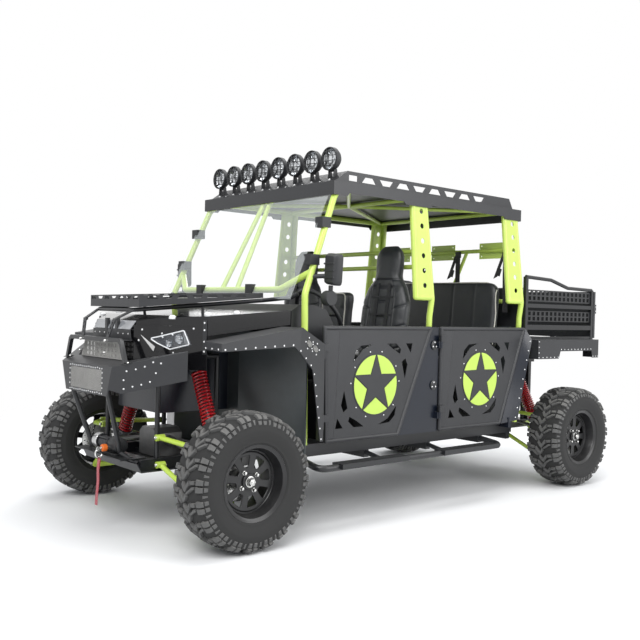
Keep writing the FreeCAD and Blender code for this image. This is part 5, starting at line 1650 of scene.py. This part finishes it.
@dataclass
class RoofLamps:
    """Row of round lamps with wire guards on short feet."""

    count: int = 8
    pitch: float = 165.0
    z: float = 2128.0
    face: float = 758.0
    radius: float = 70.0

    def build(self) -> None:
        """Makes housings, bowls, guards, feet and bolts."""
        housing, bowl, guard, bolts = Shape(), Shape(), Shape(), Shape()
        for index in range(self.count):
            x = (index - (self.count - 1) / 2) * self.pitch
            centre = at(x, self.face, self.z)
            self.shell(housing, centre)
            self.foot(housing, x)
            inside = [(9, 61), (30, 50), (44, 26), (48, 0.1), (50, 0.1), (46, 27), (32, 53), (11, 63)]
            bowl.revolve(inside, centre, REAR, 36)
            bowl.ball(centre + REAR * 30 * MM, 11, 8)
            self.guard(guard, centre)
            # Bolt at the lamp's foot, drawn white as a painted highlight.
            bolts.hexagon(at(x, self.face + 4, 2004), Vector((0, -0.58, 0.815)), 11, 6)
        housing.piece("lamp_housings", TRIM, replaces=["roof_lamps"])
        bowl.piece("lamp_reflectors", LENS)
        guard.piece("lamp_guards", TRIM)
        bolts.piece("lamp_bolts", BRIGHT_STEEL_PAINTED_GLINT)

    def shell(self, shape: Shape, centre: Vector) -> None:
        """Bowl-shaped housing with its bezel and cooling ribs."""
        r = self.radius
        profile = [(0, r - 7), (-3, r - 5), (-3, r - 1), (0, r), (20, r), (23, r - 3), (40, r - 11),
                   (56, r - 27), (62, r - 34), (62, 0.1), (57, 0.1), (52, r - 36), (38, r - 18), (10, r - 7)]
        shape.revolve(profile, centre, REAR, 40)

    def foot(self, shape: Shape, x: float) -> None:
        """Bracket that carries the lamp on the roof's front."""
        low, high = 1993, self.z - self.radius + 12
        for side in (-27, 21):
            corners = ((12, low), (50, low), (38, high), (16, high))
            shape.prism([at(x + side, self.face + back, z) for back, z in corners], LEFT * 6 * MM)
        shape.box(at(x - 27, self.face + 10, low), at(x + 27, self.face + 52, low + 8))
        shape.rod(at(x, self.face + 27, high - 14), at(x, self.face + 27, high + 8), 14, 16)

    def guard(self, shape: Shape, centre: Vector) -> None:
        """Stone guard of crossed wires on a ring."""
        r = self.radius - 3
        shape.tube([centre + mm(x, -6, z) for x, z in ring_points(r, 36)], 2.6, 0, 6, loop=True)
        for offset in (-43, -15, 15, 43):
            half = sqrt(r * r - offset * offset)
            for upright in (True, False):
                path = []
                for i in range(9):
                    run = half * (i - 4) / 4
                    bulge = 6 + 15 * (1 - (run * run + offset * offset) / (r * r))
                    a, b = (offset, run) if upright else (run, offset)
                    path.append(centre + mm(a, -bulge, b))
                shape.tube(path, 2.1, 0, 6)
        for x, z in ring_points(r, 4, 45):
            shape.rod(centre + mm(x, -6, z), centre + mm(x, 8, z), 3, 6)


class RoofTrim:
    """Openings in the roof's rails and skirt, and rivets on its sloped front."""

    def openings(self) -> Shape:
        """Slots along the rails and notches in the skirt, right across the roof."""
        low, high = 2003, 2037
        rows = trapezoids(958, 8, 149, 116, lambda s: low, high - low)
        rows.append([(851, low), (919, low), (919, high), (851, high)])
        for start, end in ((816, 1312), (1540, 2320)):
            rows.append([(start, 1904), (start + 16, 1923), (end - 16, 1923), (end, 1904)])
        shape = Shape()
        for outline in rows:
            shape.prism([at(-690, s, z) for s, z in outline], LEFT * 1380 * MM)
        return shape

    def build(self) -> None:
        """Cuts the panel and makes the row below the lamps."""
        carve("roof_panel", self.openings(), "roof_shell", BLACK, "chassis", 1.5)
        shape = Shape()
        normal = Vector((0, -0.576, 0.817))
        for i in range(7):
            shape.dome(at((i - 3) * 165, 757, 2000), normal, 5, 0.5, 10)
        shape.piece("roof_rivets", BRIGHT_STEEL_PAINTED_GLINT)


class Mirrors:
    """Door mirrors with round wide-angle glasses below."""

    def build(self) -> None:
        """Makes both mirrors."""
        body, glass = Shape(), Shape()
        self.head(body, (735, 845), (588, 648), (1367, 1558), 26)
        for z in (1410, 1450, 1490):
            body.box(at(748, 584, z), at(832, 592, z + 9))
        bowl = [(0, 0.1), (0, 36), (6, 43), (50, 43), (56, 40), (56, 0.1)]
        body.revolve(bowl, at(753, 600, 1300), LEFT, 28)
        body.tube([at(700, 540, 1420), at(738, 590, 1425), at(762, 605, 1425)], 13, 20, 12)
        body.tube([at(780, 612, 1300), at(780, 614, 1372)], 13, 0, 12)
        body.mirrored().piece("mirror_bodies", TRIM, replaces=["mirrors"], bevel=1.2)
        glass.box(at(747, 648.5, 1382), at(833, 650, 1545))
        glass.mirrored().piece("mirror_glasses", LENS)

    def head(self, shape: Shape, xs: Pair, stations: Pair, zs: Pair, corner: float) -> None:
        """Rounded housing."""
        corners = [(xs[0], zs[0] + 14), (xs[1] - 10, zs[0]), (xs[1], zs[1] - 12), (xs[0] + 8, zs[1])]
        outline = rounded(corners, corner, 5)
        rings = []
        for depth, inset in ((0, 16), (0.12, 7), (0.35, 1), (0.6, 0), (1, 0)):
            station = stations[0] + (stations[1] - stations[0]) * depth
            rings.append([at(x, station, z) for x, z in inset_loop(outline, inset)])
        shape.loft(rings)


# Seats

@dataclass
class Pad:
    """A padded cushion: its slack form, the box it has to stay in, and its sewn lines."""

    name: str
    form: Shape
    low: Vector
    high: Vector
    view: Vector
    seams: list[list[Vector]] = field(default_factory=list)
    voxel: float = 11.0
    swell: float = 14.0
    seam_depth: float = 6.0
    seam_width: float = 7.0
    replaces: tuple[str, ...] = ()

    def slack(self) -> Object:
        """The remeshed object before it is filled."""
        thing = self.form.piece(self.name, VINYL, "chassis", self.replaces, smooth=pi)
        net = thing.modifiers.new("net", "REMESH")
        net.mode = "VOXEL"
        net.voxel_size = self.voxel * MM
        settle(thing)
        return thing

    def sew(self, thing: Object) -> None:
        """Subdivides the filled form, presses in its seams and holds it in its box."""
        fine = thing.modifiers.new("fine", "SUBSURF")
        fine.levels = fine.render_levels = 1
        settle(thing)
        u, v, w = basis(self.view)
        lines = [[Vector((p.dot(u), p.dot(v))) for p in seam] for seam in self.seams]
        reach = self.seam_width * MM
        faced = [vertex.normal.dot(w) > 0.25 for vertex in thing.data.vertices]
        moved: list[float] = []
        for spot, outer in zip([vertex.co.copy() for vertex in thing.data.vertices], faced):
            if outer:
                flat = Vector((spot.dot(u), spot.dot(v)))
                near = min((gap_to(flat, line) for line in lines), default=1)
                if near < 3 * reach:
                    spot -= w * self.seam_depth * MM * exp(-(near / reach) ** 2)
            moved.extend(min(max(spot[axis], self.low[axis]), self.high[axis]) for axis in range(3))
        thing.data.vertices.foreach_set("co", moved)
        thing.data.update()
        thing.data.shade_smooth()


def gap_to(spot: Vector, line: Points) -> float:
    """Distance of a flat point from a line of straight runs."""
    best = 1
    for a, b in zip(line, line[1:]):
        run = b - a
        share = min(1, max(0, (spot - a).dot(run) / max(run.length_squared, 1e-9)))
        best = min(best, (spot - a - run * share).length)
    return best


def inflate(things: Sequence[Object], caps: Sequence[float], frames: int = 16) -> None:
    """Fills every pad with air as cloth, its points held to a greatest move.

    Args:
        things: The remeshed pads.
        caps: Greatest move of a point of each, in millimetres.
        frames: Frames that the simulation runs.
    """
    rest = [[v.co.copy() for v in thing.data.vertices] for thing in things]
    for thing in things:
        cloth = thing.modifiers.new("fill", "CLOTH")
        cloth.settings.use_pressure = True
        cloth.settings.uniform_pressure_force = 4
        cloth.settings.effector_weights.gravity = 0
        cloth.settings.quality = 4
        cloth.point_cache.frame_start = 1
        cloth.point_cache.frame_end = frames
    scene = bpy.context.scene
    for step in range(1, frames + 1):
        scene.frame_set(step)
    for thing, before, cap in zip(things, rest, caps):
        settle(thing)
        for vertex, start in zip(thing.data.vertices, before):
            move = vertex.co - start
            if move.length > cap * MM:
                vertex.co = start + move.normalized() * cap * MM
    scene.frame_set(1)


@dataclass
class Bucket:
    """Bucket seat with headrest, bolsters and ladder straps."""

    x: float
    tag: str
    box_half: float = 235.0
    neck: float = 1440.0
    widths: tuple[Pair, ...] = (
        (784, 196), (1000, 205), (1200, 218), (1300, 214), (1390, 178), (1440, 132), (1470, 118), (1520, 124),
        (1600, 120), (1650, 96), (1684, 52),
    )
    fronts: tuple[Pair, ...] = ((784, 1285), (1420, 1378), (1500, 1392), (1640, 1408), (1684, 1430))
    rears: tuple[Pair, ...] = ((784, 1402), (1420, 1478), (1500, 1480), (1640, 1478), (1684, 1456))
    heights: tuple[float, ...] = (
        800, 850, 950, 1050, 1150, 1250, 1310, 1360, 1400, 1430, 1455, 1475, 1500, 1550, 1600, 1640, 1665,
        1676,
    )

    def back(self) -> Pad:
        """Back and headrest as one pad."""
        form = Shape()
        rings = []
        for z in self.heights:
            half, low, high = between(self.widths, z), between(self.fronts, z) + 8, between(self.rears, z) - 8
            middle, deep = (low + high) / 2, (high - low) / 2
            ring = []
            for c, s in ring_points(1, 32):
                across = half * copysign(abs(c) ** 0.5, c)
                along = deep * copysign(abs(s) ** 0.62, s)
                if s < 0 and z < self.neck:
                    along += 16 * max(0, 1 - (across / (half * 0.62)) ** 4)
                ring.append(at(self.x + across, middle + along, z))
            rings.append(ring)
        form.loft(rings)
        lines = [(-118, 815, -104, 1395), (118, 815, 104, 1395), (-104, 1395, 104, 1395),
                 (-150, 1442, 150, 1442)]
        for z in (980, 1120, 1250):
            lines += [(side * 104, z, side * (between(self.widths, z) - 8), z + 34) for side in (-1, 1)]
        lines += [(-30, z, 30, z) for z in range(900, 1301, 100)]
        seams = [[at(self.x + a, 1300, low), at(self.x + b, 1300, high)] for a, low, b, high in lines]
        return Pad(f"bucket_back_{self.tag}", form, *self.room(1277, 785, 1488, 1684), FRONT, seams,
                   replaces=("seats_front",), swell=11)

    def room(self, front: float, low: float, rear: float, high: float) -> tuple[Vector, Vector]:
        """Lowest and highest corner of the box that a pad stays in."""
        return at(self.x - self.box_half, front, low), at(self.x + self.box_half, rear, high)

    def cushion(self) -> Pad:
        """Seat cushion with raised sides."""
        x = self.x
        form = crowned(at(x - 222, 948, 786), at(x + 222, 1318, 906), 0.05)
        seams = [[at(x + a, 960, 0), at(x + a * 0.9, 1300, 0)] for a in (-128, 128)]
        seams += [[at(x - 128, s, 0), at(x + 128, s, 0)] for s in (1040, 1120, 1200)]
        return Pad(f"bucket_cushion_{self.tag}", form, *self.room(936, 781, 1330, 921), UP, seams,
                   replaces=("seats_front",), swell=12)

    def straps(self) -> Shape:
        """Two upright straps and their rungs on the middle of the back."""
        shape = Shape()
        for side in (-52, 52):
            stops = (800, 900, 1000, 1100, 1200, 1300, 1380, 1420)
            shape.strip([at(self.x + side, between(self.fronts, z) + 8.5, z) for z in stops], LEFT, 30, 4)
        for z in (900, 985, 1130, 1215, 1330):
            front = between(self.fronts, z) + 5.5
            path = [at(self.x + x, front + abs(x) * 0.02, z) for x in (-96, -50, 0, 50, 96)]
            shape.strip(path, Vector((0, 0.12, 1)), 13, 4)
        return shape


def between(stops: Outline, value: float) -> float:
    """Straight interpolation in a table."""
    for (a, x), (b, y) in zip(stops, stops[1:]):
        if value <= b:
            return x + (y - x) * max(0, value - a) / (b - a)
    return stops[-1][1]


def crowned(low: Vector, high: Vector, crown: float) -> Shape:
    """Cushion form whose rounded sides pull in between its corners.

    Args:
        low: Lowest corner in metres.
        high: Highest corner in metres.
        crown: Share by which each side pulls in at its middle.

    Returns:
        The closed form.
    """
    shape = Shape()
    middle = (low + high) / 2
    half = (high - low) / 2
    rings = []
    tall = high.z - low.z
    for level, inset in ((0, 14), (0.12, 3), (0.5, 0), (0.82, 2), (0.95, 9), (1, 22)):
        ring = []
        for c, s in ring_points(1, 40):
            x = copysign(abs(c) ** 0.28, c)
            y = copysign(abs(s) ** 0.28, s)
            pull = 1 - crown * (1 - min(abs(x), abs(y)) ** 2)
            ring.append(Vector((middle.x + (half.x - inset * MM) * x * (pull if abs(x) > abs(y) else 1),
                                middle.y + (half.y - inset * MM) * y * (pull if abs(y) >= abs(x) else 1),
                                low.z + tall * level)))
        rings.append(ring)
    shape.loft(rings)
    return shape


def upright_pad(low: Vector, high: Vector, lean: float) -> Shape:
    """Backrest form that leans back by a distance over its height."""
    flat = crowned(Vector((low.x, low.z, -high.y)), Vector((high.x, high.z, -low.y)), 0.03)
    tall = high.z - low.z
    verts = [Vector((p.x, -p.z + lean * MM * (p.y - low.z) / tall, p.y)) for p in flat.verts]
    return Shape(verts, flat.faces)


class Seats:
    """Two buckets, the middle seat and the rear bench."""

    buckets: tuple[Bucket, Bucket] = (Bucket(430, "left"), Bucket(-430, "right"))

    def pads(self) -> list[Pad]:
        """Every pad."""
        made = [pad for bucket in self.buckets for pad in (bucket.back(), bucket.cushion())]
        form = crowned(at(-158, 970, 787), at(158, 1318, 897), 0.04)
        made.append(Pad("middle_cushion", form, at(-190, 961, 781), at(190, 1330, 911), UP, [], 12, 10))
        form = upright_pad(at(-140, 1300, 925), at(140, 1380, 1376), 38)
        made.append(Pad("middle_back", form, at(-150, 1291, 785), at(150, 1439, 1385), FRONT, [], 12, 9))
        form = crowned(at(-608, 1902, 787), at(608, 2280, 906), 0.015)
        rows = [[at(-600, s, 0), at(600, s, 0)] for s in (1990, 2100)]
        made.append(Pad("bench_cushion", form, at(-620, 1891, 781), at(620, 2290, 921), UP, rows, 16, 12,
                        replaces=("bench_rear",)))
        form = upright_pad(at(-628, 2300, 925), at(628, 2364, 1486), 38)
        folds = [[at(x, 2300, 930), at(x, 2300, 1490)] for x in (-420, -220, 220, 420)]
        made.append(Pad("bench_back", form, at(-640, 2221, 785), at(640, 2414, 1495), FRONT, folds, 16, 9, 3,
                        9, replaces=("bench_rear",)))
        return made

    def piping(self, thing: Object, ahead: float, half: float, high: float, corner: float) -> Shape:
        """White piping down both sides and over the top of a backrest.

        Args:
            thing: The finished backrest.
            ahead: Station in front of it.
            half: Distance of both sides from the middle.
            high: Height of the top run.
            corner: Radius of the upper corners.

        Returns:
            The piping, empty where the backrest isn't met.
        """
        shape = Shape()
        low = 940
        corners = [at(x, ahead, z) for x, z in ((-half, low), (-half, high), (half, high), (half, low))]
        path = []
        for origin in spaced(bent_path(corners, corner * MM, 8), 16):
            found, spot, _, _ = thing.ray_cast(origin, REAR)
            if found:
                path.append(spot + FRONT * MM)
        if len(path) > 2:
            shape.tube(path, 4.2, 0, 8)
        return shape

    def build(self) -> None:
        """Makes, fills and sews the pads, then adds straps and piping."""
        pads = self.pads()
        things = [pad.slack() for pad in pads]
        inflate(things, [pad.swell for pad in pads])
        for pad, thing in zip(pads, things):
            pad.sew(thing)
        named = {thing.name: thing for thing in things}
        self.piping(named["middle_back"], 1000, 116, 1350, 36).piece("middle_piping", PIPING)
        self.piping(named["bench_back"], 2000, 600, 1462, 42).piece("bench_piping", PIPING)
        straps = Shape()
        for bucket in self.buckets:
            straps.extend(bucket.straps())
        straps.piece("seat_straps", SEAT_STRAP)


@dataclass
class Belts:
    """Lap and shoulder belts that hang from the rear bar."""

    station: float = 2421.0

    def build(self) -> None:
        """Makes the four belts and their buckles."""
        webbing, buckles = Shape(), Shape()
        for x in (180, 620):
            path = [at(x, self.station + 3 * sin(z / 90), z) for z in range(1250, 1701, 25)]
            webbing.strip(path, LEFT, 44, 2.6)
            lean = [at(x - 6 - (1690 - z) * 0.42, self.station - 4, z) for z in range(1500, 1691, 19)]
            webbing.strip(lean, Vector((1, 0, 0.42)), 38, 2.6)
            buckles.box(at(x - 24, self.station - 8, 1655), at(x + 24, self.station + 7, 1700))
            spot = at(x - 78, self.station - 6, 1520)
            buckles.slab([spot + mm(dx, 0, dz) for dx, dz in ((0, 0), (34, -12), (52, 40), (18, 52))], 9)
        webbing.mirrored().piece("belt_straps", BELT, replaces=["seat_belts"])
        buckles.mirrored().piece("belt_buckles", TRIM, bevel=2)


# Bed

class Bed:
    """Rivets, lamps and latches of the bed and its shelves."""

    def build(self) -> None:
        """Makes the pieces that tip with the bed, and the tailgate's."""
        self.rivets().mirrored().piece("bed_rivets", BRIGHT_STEEL_PAINTED_GLINT, "bed")
        self.lamps().mirrored().piece("tail_lenses", TAIL, "bed", bevel=2)
        self.housings().mirrored().piece("tail_housings", BLACK, "bed", bevel=1.5)
        carve("bed_racks", self.rack_holes().mirrored(), "rack_sides", TUBE, "bed", 0.8)
        self.feet().mirrored().piece("bed_edges", TUBE, "bed", bevel=1)
        self.latch().mirrored().piece("tailgate_latches", STEEL, "tailgate", bevel=1)
        self.ribs().piece("tailgate_ribs", BLACK, "tailgate", bevel=1.5)

    def rivets(self) -> Shape:
        """Rivets along the lower edges of a shelf and its rear face."""
        shape = Shape()
        for a, b in (((2526, 936), (2762, 936)), ((2800, 990), (3190, 990)), ((3222, 936), (3290, 936))):
            shape.rivets(spaced([at(850, *a), at(850, *b)], 44), LEFT, 4.5)
        shape.rivets([at(850, 2524, z) for z in (970, 1010, 1048)], LEFT, 4.5)
        shape.rivets([at(x, 3295, 937) for x in (735, 838)], REAR, 4.5)
        return shape

    def feet(self) -> Shape:
        """Three foot plates of a rack on its shelf."""
        return Shape().boxes(*(((700, s - 20, 1062), (738, s + 14, 1066)) for s in (2530, 2958, 3385)))

    def lamps(self) -> Shape:
        """Red lens of a tail lamp with its ribs."""
        ribs = (((759, 3318, z), (829, 3321, z + 4)) for z in (978, 1006))
        return Shape().boxes(((757, 3315, 952), (831, 3319, 1033)), *ribs)

    def housings(self) -> Shape:
        """Box that carries a tail lamp on the shelf's rear face."""
        return Shape().boxes(((752, 3294, 947), (836, 3316, 1038)))

    def rack_holes(self) -> Shape:
        """Four rows of square holes in a side rack's strips."""
        rows, starts = (1345, 1383, 1197, 1234), range(2562, 2562 + 15 * 54, 54)
        return Shape().boxes(*(((712, s, low), (728, s + 30, low + 27)) for low in rows for s in starts))

    def latch(self) -> Shape:
        """Bright bolts of a tailgate latch."""
        shape = Shape()
        for z in (1278, 1312):
            shape.dome(at(736.5, 3432, z), LEFT, 6, 0.7, 10)
        return shape

    def ribs(self) -> Shape:
        """Pressed ribs on the outer face of the tailgate."""
        return Shape().boxes(*(((-640, 3416, z), (640, 3421, z + 34)) for z in (1150, 1230, 1310)))


# Winch

@dataclass
class Winch:
    """Winch under the bumper, its rope, hook and pull strap."""

    station: float = -325.0
    z: float = 461.0
    hook_x: float = 90.0
    turns: int = 14
    strap_path: tuple[tuple[float, float, float], ...] = (
        (90, -429, 397), (89, -431, 372), (86, -432, 340), (84, -430, 300), (83, -428.5, 274),
        (82, -429.5, 250), (78, -431, 210), (73, -431, 172), (68, -430, 138),
    )

    def build(self) -> None:
        """Makes the winch and what hangs from it."""
        centre = at(0, self.station, self.z)
        self.gearbox(centre).piece("winch_gearbox", SILVER, replaces=["winch"])
        self.motor(centre).piece("winch_motor", TRIM, bevel=1)
        self.rope(centre).piece("winch_rope", ROPE)
        stop = Shape()
        sleeve = [(-386, 5), (-386, 17), (-390, 20), (-412, 20), (-416, 17), (-416, 5)]
        stop.revolve(sleeve, at(self.hook_x, 0, 452), REAR, 28)
        stop.piece("rope_stop", STOP)
        self.hook().piece("hook_forging", STEEL)
        strap = Shape()
        path = [at(*p) for p in self.strap_path]
        strap.strip(path, LEFT, 27, 3.4)
        strap.strip([p + REAR * 3.6 * MM for p in path[:3]], LEFT, 25, 2.4)
        strap.piece("pull_strap", STRAP)

    def gearbox(self, centre: Vector) -> Shape:
        """Round gearbox with its six bolts."""
        shape = Shape()
        profile = [(-150, 0.1), (-150, 22), (-146, 32), (-138, 40), (-126, 44), (-84, 44), (-80, 40),
                   (-80, 0.1)]
        shape.revolve(profile, centre, LEFT, 40)
        for y, z in ring_points(38, 6, 30):
            shape.rod(centre + mm(-128, y, z), centre + mm(-82, y, z), 6, 8)
        return shape

    def motor(self, centre: Vector) -> Shape:
        """Motor, both flanges of the drum, the mounting plate with its bolts and the tie bar."""
        shape = Shape()
        for profile in (
            [(54, 0.1), (54, 40), (58, 42), (140, 42), (147, 38), (150, 30), (150, 0.1)],
            [(-79, 30), (-79, 43), (-75, 43), (-75, 30)], [(49, 30), (49, 43), (53, 43), (53, 30)],
        ):
            shape.revolve(profile, centre, LEFT, 40)
        shape.box(at(-150, self.station - 35, 411), at(150, self.station + 35, 417))
        for x, top in ((-140, 440), (-60, 470), (60, 470), (140, 440)):
            shape.rod(at(x, self.station, top), at(x, self.station, 412), 9, 8)
        shape.rod(centre + mm(-76, -30, 30), centre + mm(50, -30, 30), 5, 8)
        return shape

    def rope(self, centre: Vector) -> Shape:
        """Rope on the drum and its run to the hook."""
        shape = Shape()
        turn = ring_points(30, 16)
        count = self.turns * len(turn)
        coil = [centre + mm(-70 + 115 * i / count, *turn[i % len(turn)]) for i in range(count + 1)]
        shape.tube(coil, 4.2, 0, 6)
        shape.rod(centre + mm(-74, 0, 0), centre + mm(49, 0, 0), 27, 20)
        shape.tube([centre + mm(20, -33, 8), at(self.hook_x, -392, 454)], 4, 0, 8)
        return shape

    def hook(self) -> Shape:
        """Forged hook with its eye, pin and latch."""
        shape = Shape()

        def bend(*points: Pair) -> list[Vector]:
            return [at(self.hook_x, station, z) for station, z in points]

        shape.tube(bend((-416, 452), (-427, 449)), 9, 0, 12)
        shape.revolve([(-5, 6), (-5, 14), (5, 14), (5, 6)], at(self.hook_x, -432, 446), LEFT, 20)
        shape.rod(at(self.hook_x - 11, -432, 446), at(self.hook_x + 11, -432, 446), 4.5, 12)
        path = bend((-436, 440), (-447, 438), (-450, 425), (-448, 411), (-440, 404.5), (-420, 404.5),
                    (-411, 414))
        shape.tube(path, 6, 9, 12)
        shape.strip(bend((-436, 434), (-422, 426), (-412, 417)), LEFT, 9, 1.8)
        return shape


# Suspension trim

class SuspensionTrim:
    """Collars and bolts of the arms and shocks."""

    def build(self) -> None:
        """Makes the springs and the trim of both axles."""
        collars, bolts, coils = Shape(), Shape(), Shape()
        for axle, head in ((0, 922.7), (REAR_AXLE, 843.7)):
            top = at(300, axle + 45, head)
            foot = at(606, axle + 45, 254.8)
            along = (top - foot).normalized()
            self.coil(coils, foot, along, 214.6, (top - foot).length / MM - 62.6)
            for base in (foot + along * 206 * MM, top - along * 61 * MM):
                collars.revolve([(0, 27), (0, 46), (2, 48), (6, 48), (8, 46), (8, 27)], base, along, 32)
            for rise in (150, 164, 178):
                collars.revolve([(0, 26.4), (0, 29), (3, 29), (3, 26.4)], foot + along * rise * MM, along, 28)
            for side in (-1, 1):
                for end in (top, foot):
                    bolts.hexagon(end + REAR * side * 19 * MM, REAR * side, 17, 11)
                for x, z in ((333.3, 375), (322.3, 520)):
                    for spread in (-190, 190):
                        bolts.hexagon(at(x, axle + spread + side * 26, z), REAR * side, 16, 10)
        coils.mirrored().piece("spring_coils", COIL, replaces=["springs"])
        collars.mirrored().piece("spring_collars", DAMPER)
        bolts.mirrored().piece("suspension_bolts", STEEL)

    def coil(self, shape: Shape, foot: Vector, along: Vector, low: float, high: float) -> None:
        """Coil spring about a shock, between two heights from its foot, with closed end turns."""
        u, v, w = basis(along)
        turns, wire, end_turn = 25, 5.8, 0.8
        circle_steps = ring_points(37.8, 18)
        path = []
        for i in range(turns * len(circle_steps) + 1):
            x, y = circle_steps[i % len(circle_steps)]
            wound = i / len(circle_steps)
            rise = min(1, max(0, (wound - end_turn) / (turns - 2 * end_turn)))
            lift = low + wire + (high - low - 2 * wire) * rise
            path.append(foot + (u * x + v * y + w * lift) * MM)
        shape.tube(path, wire, 0, 8)


# Frame nodes that keep their own meshes

CARRIED: tuple[tuple[Finish | ClearFinish, dict[str, float]], ...] = (
    (CAST, {"knuckle_left": 0, "knuckle_right": 0, "uprights_rear": 0, "drive_units": 0, "engine_block": 4}),
    (LIME, {"arms_front": 0, "arms_rear": 0}),
    (LIME_CAGE, {"cage_front": 0, "cage_middle": 0, "cage_rear": 0, "cage_roof": 0, "headrest_plates": 0.8}),
    (DAMPER, {"shocks": 0}),
    (STEEL, {"steering_rack": 0, "exhaust": 0}),
    (TRIM, {"steering_wheel": 0, "seat_boxes": 4, "dash": 6, "clamps": 4}),
    (TUBE, {"main_frame": 1.5, "bumper_struts": 0, "side_steps": 1.5}),
    (BLACK, {"skid_plate": 0, "front_fenders": 1.5, "bed_tub": 1.5, "tailgate": 2}),
    (GLOSS, {"hood": 3, "fascia": 2}),
    (NAVY, {"side_panels": 1.5}),
    (FLOOR, {"floor_pan": 0}),
    (GLASS, {"windscreen": 0}),
    (DARK_GLASS, {"headlamps": 0}),
)


def dress_frame() -> None:
    """Gives each shown frame node its finish, smooth curves and a bevel of some millimetres."""
    for finish, nodes in CARRIED:
        for name, bevel in nodes.items():
            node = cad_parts[name]
            node.data.materials.clear()
            node.data.materials.append(finish.material())
            smoothen(node.data)
            if bevel:
                add_bevel(node, bevel)
            LOG.info("%s keeps its frame mesh in %s", name, finish.name)


def main() -> None:
    """Builds the camera and stage first, then each sub-assembly in order."""
    logging.basicConfig(level=logging.INFO, format="%(relativeCreated)6d ms  %(message)s")
    parts = (
        Studio(), RunningGear(), SuspensionTrim(), Nose(), Winch(), Fender(),
        DoorTrim("front", 1016, 592, 622), DoorTrim("rear", 2000, 1587, 1587), SideTrim(),
        RoofLamps(), RoofTrim(), Mirrors(), Seats(), Belts(), Bed(),
    )
    for part in parts:
        part.build()
    dress_frame()


if __name__ == "__main__":
    main()
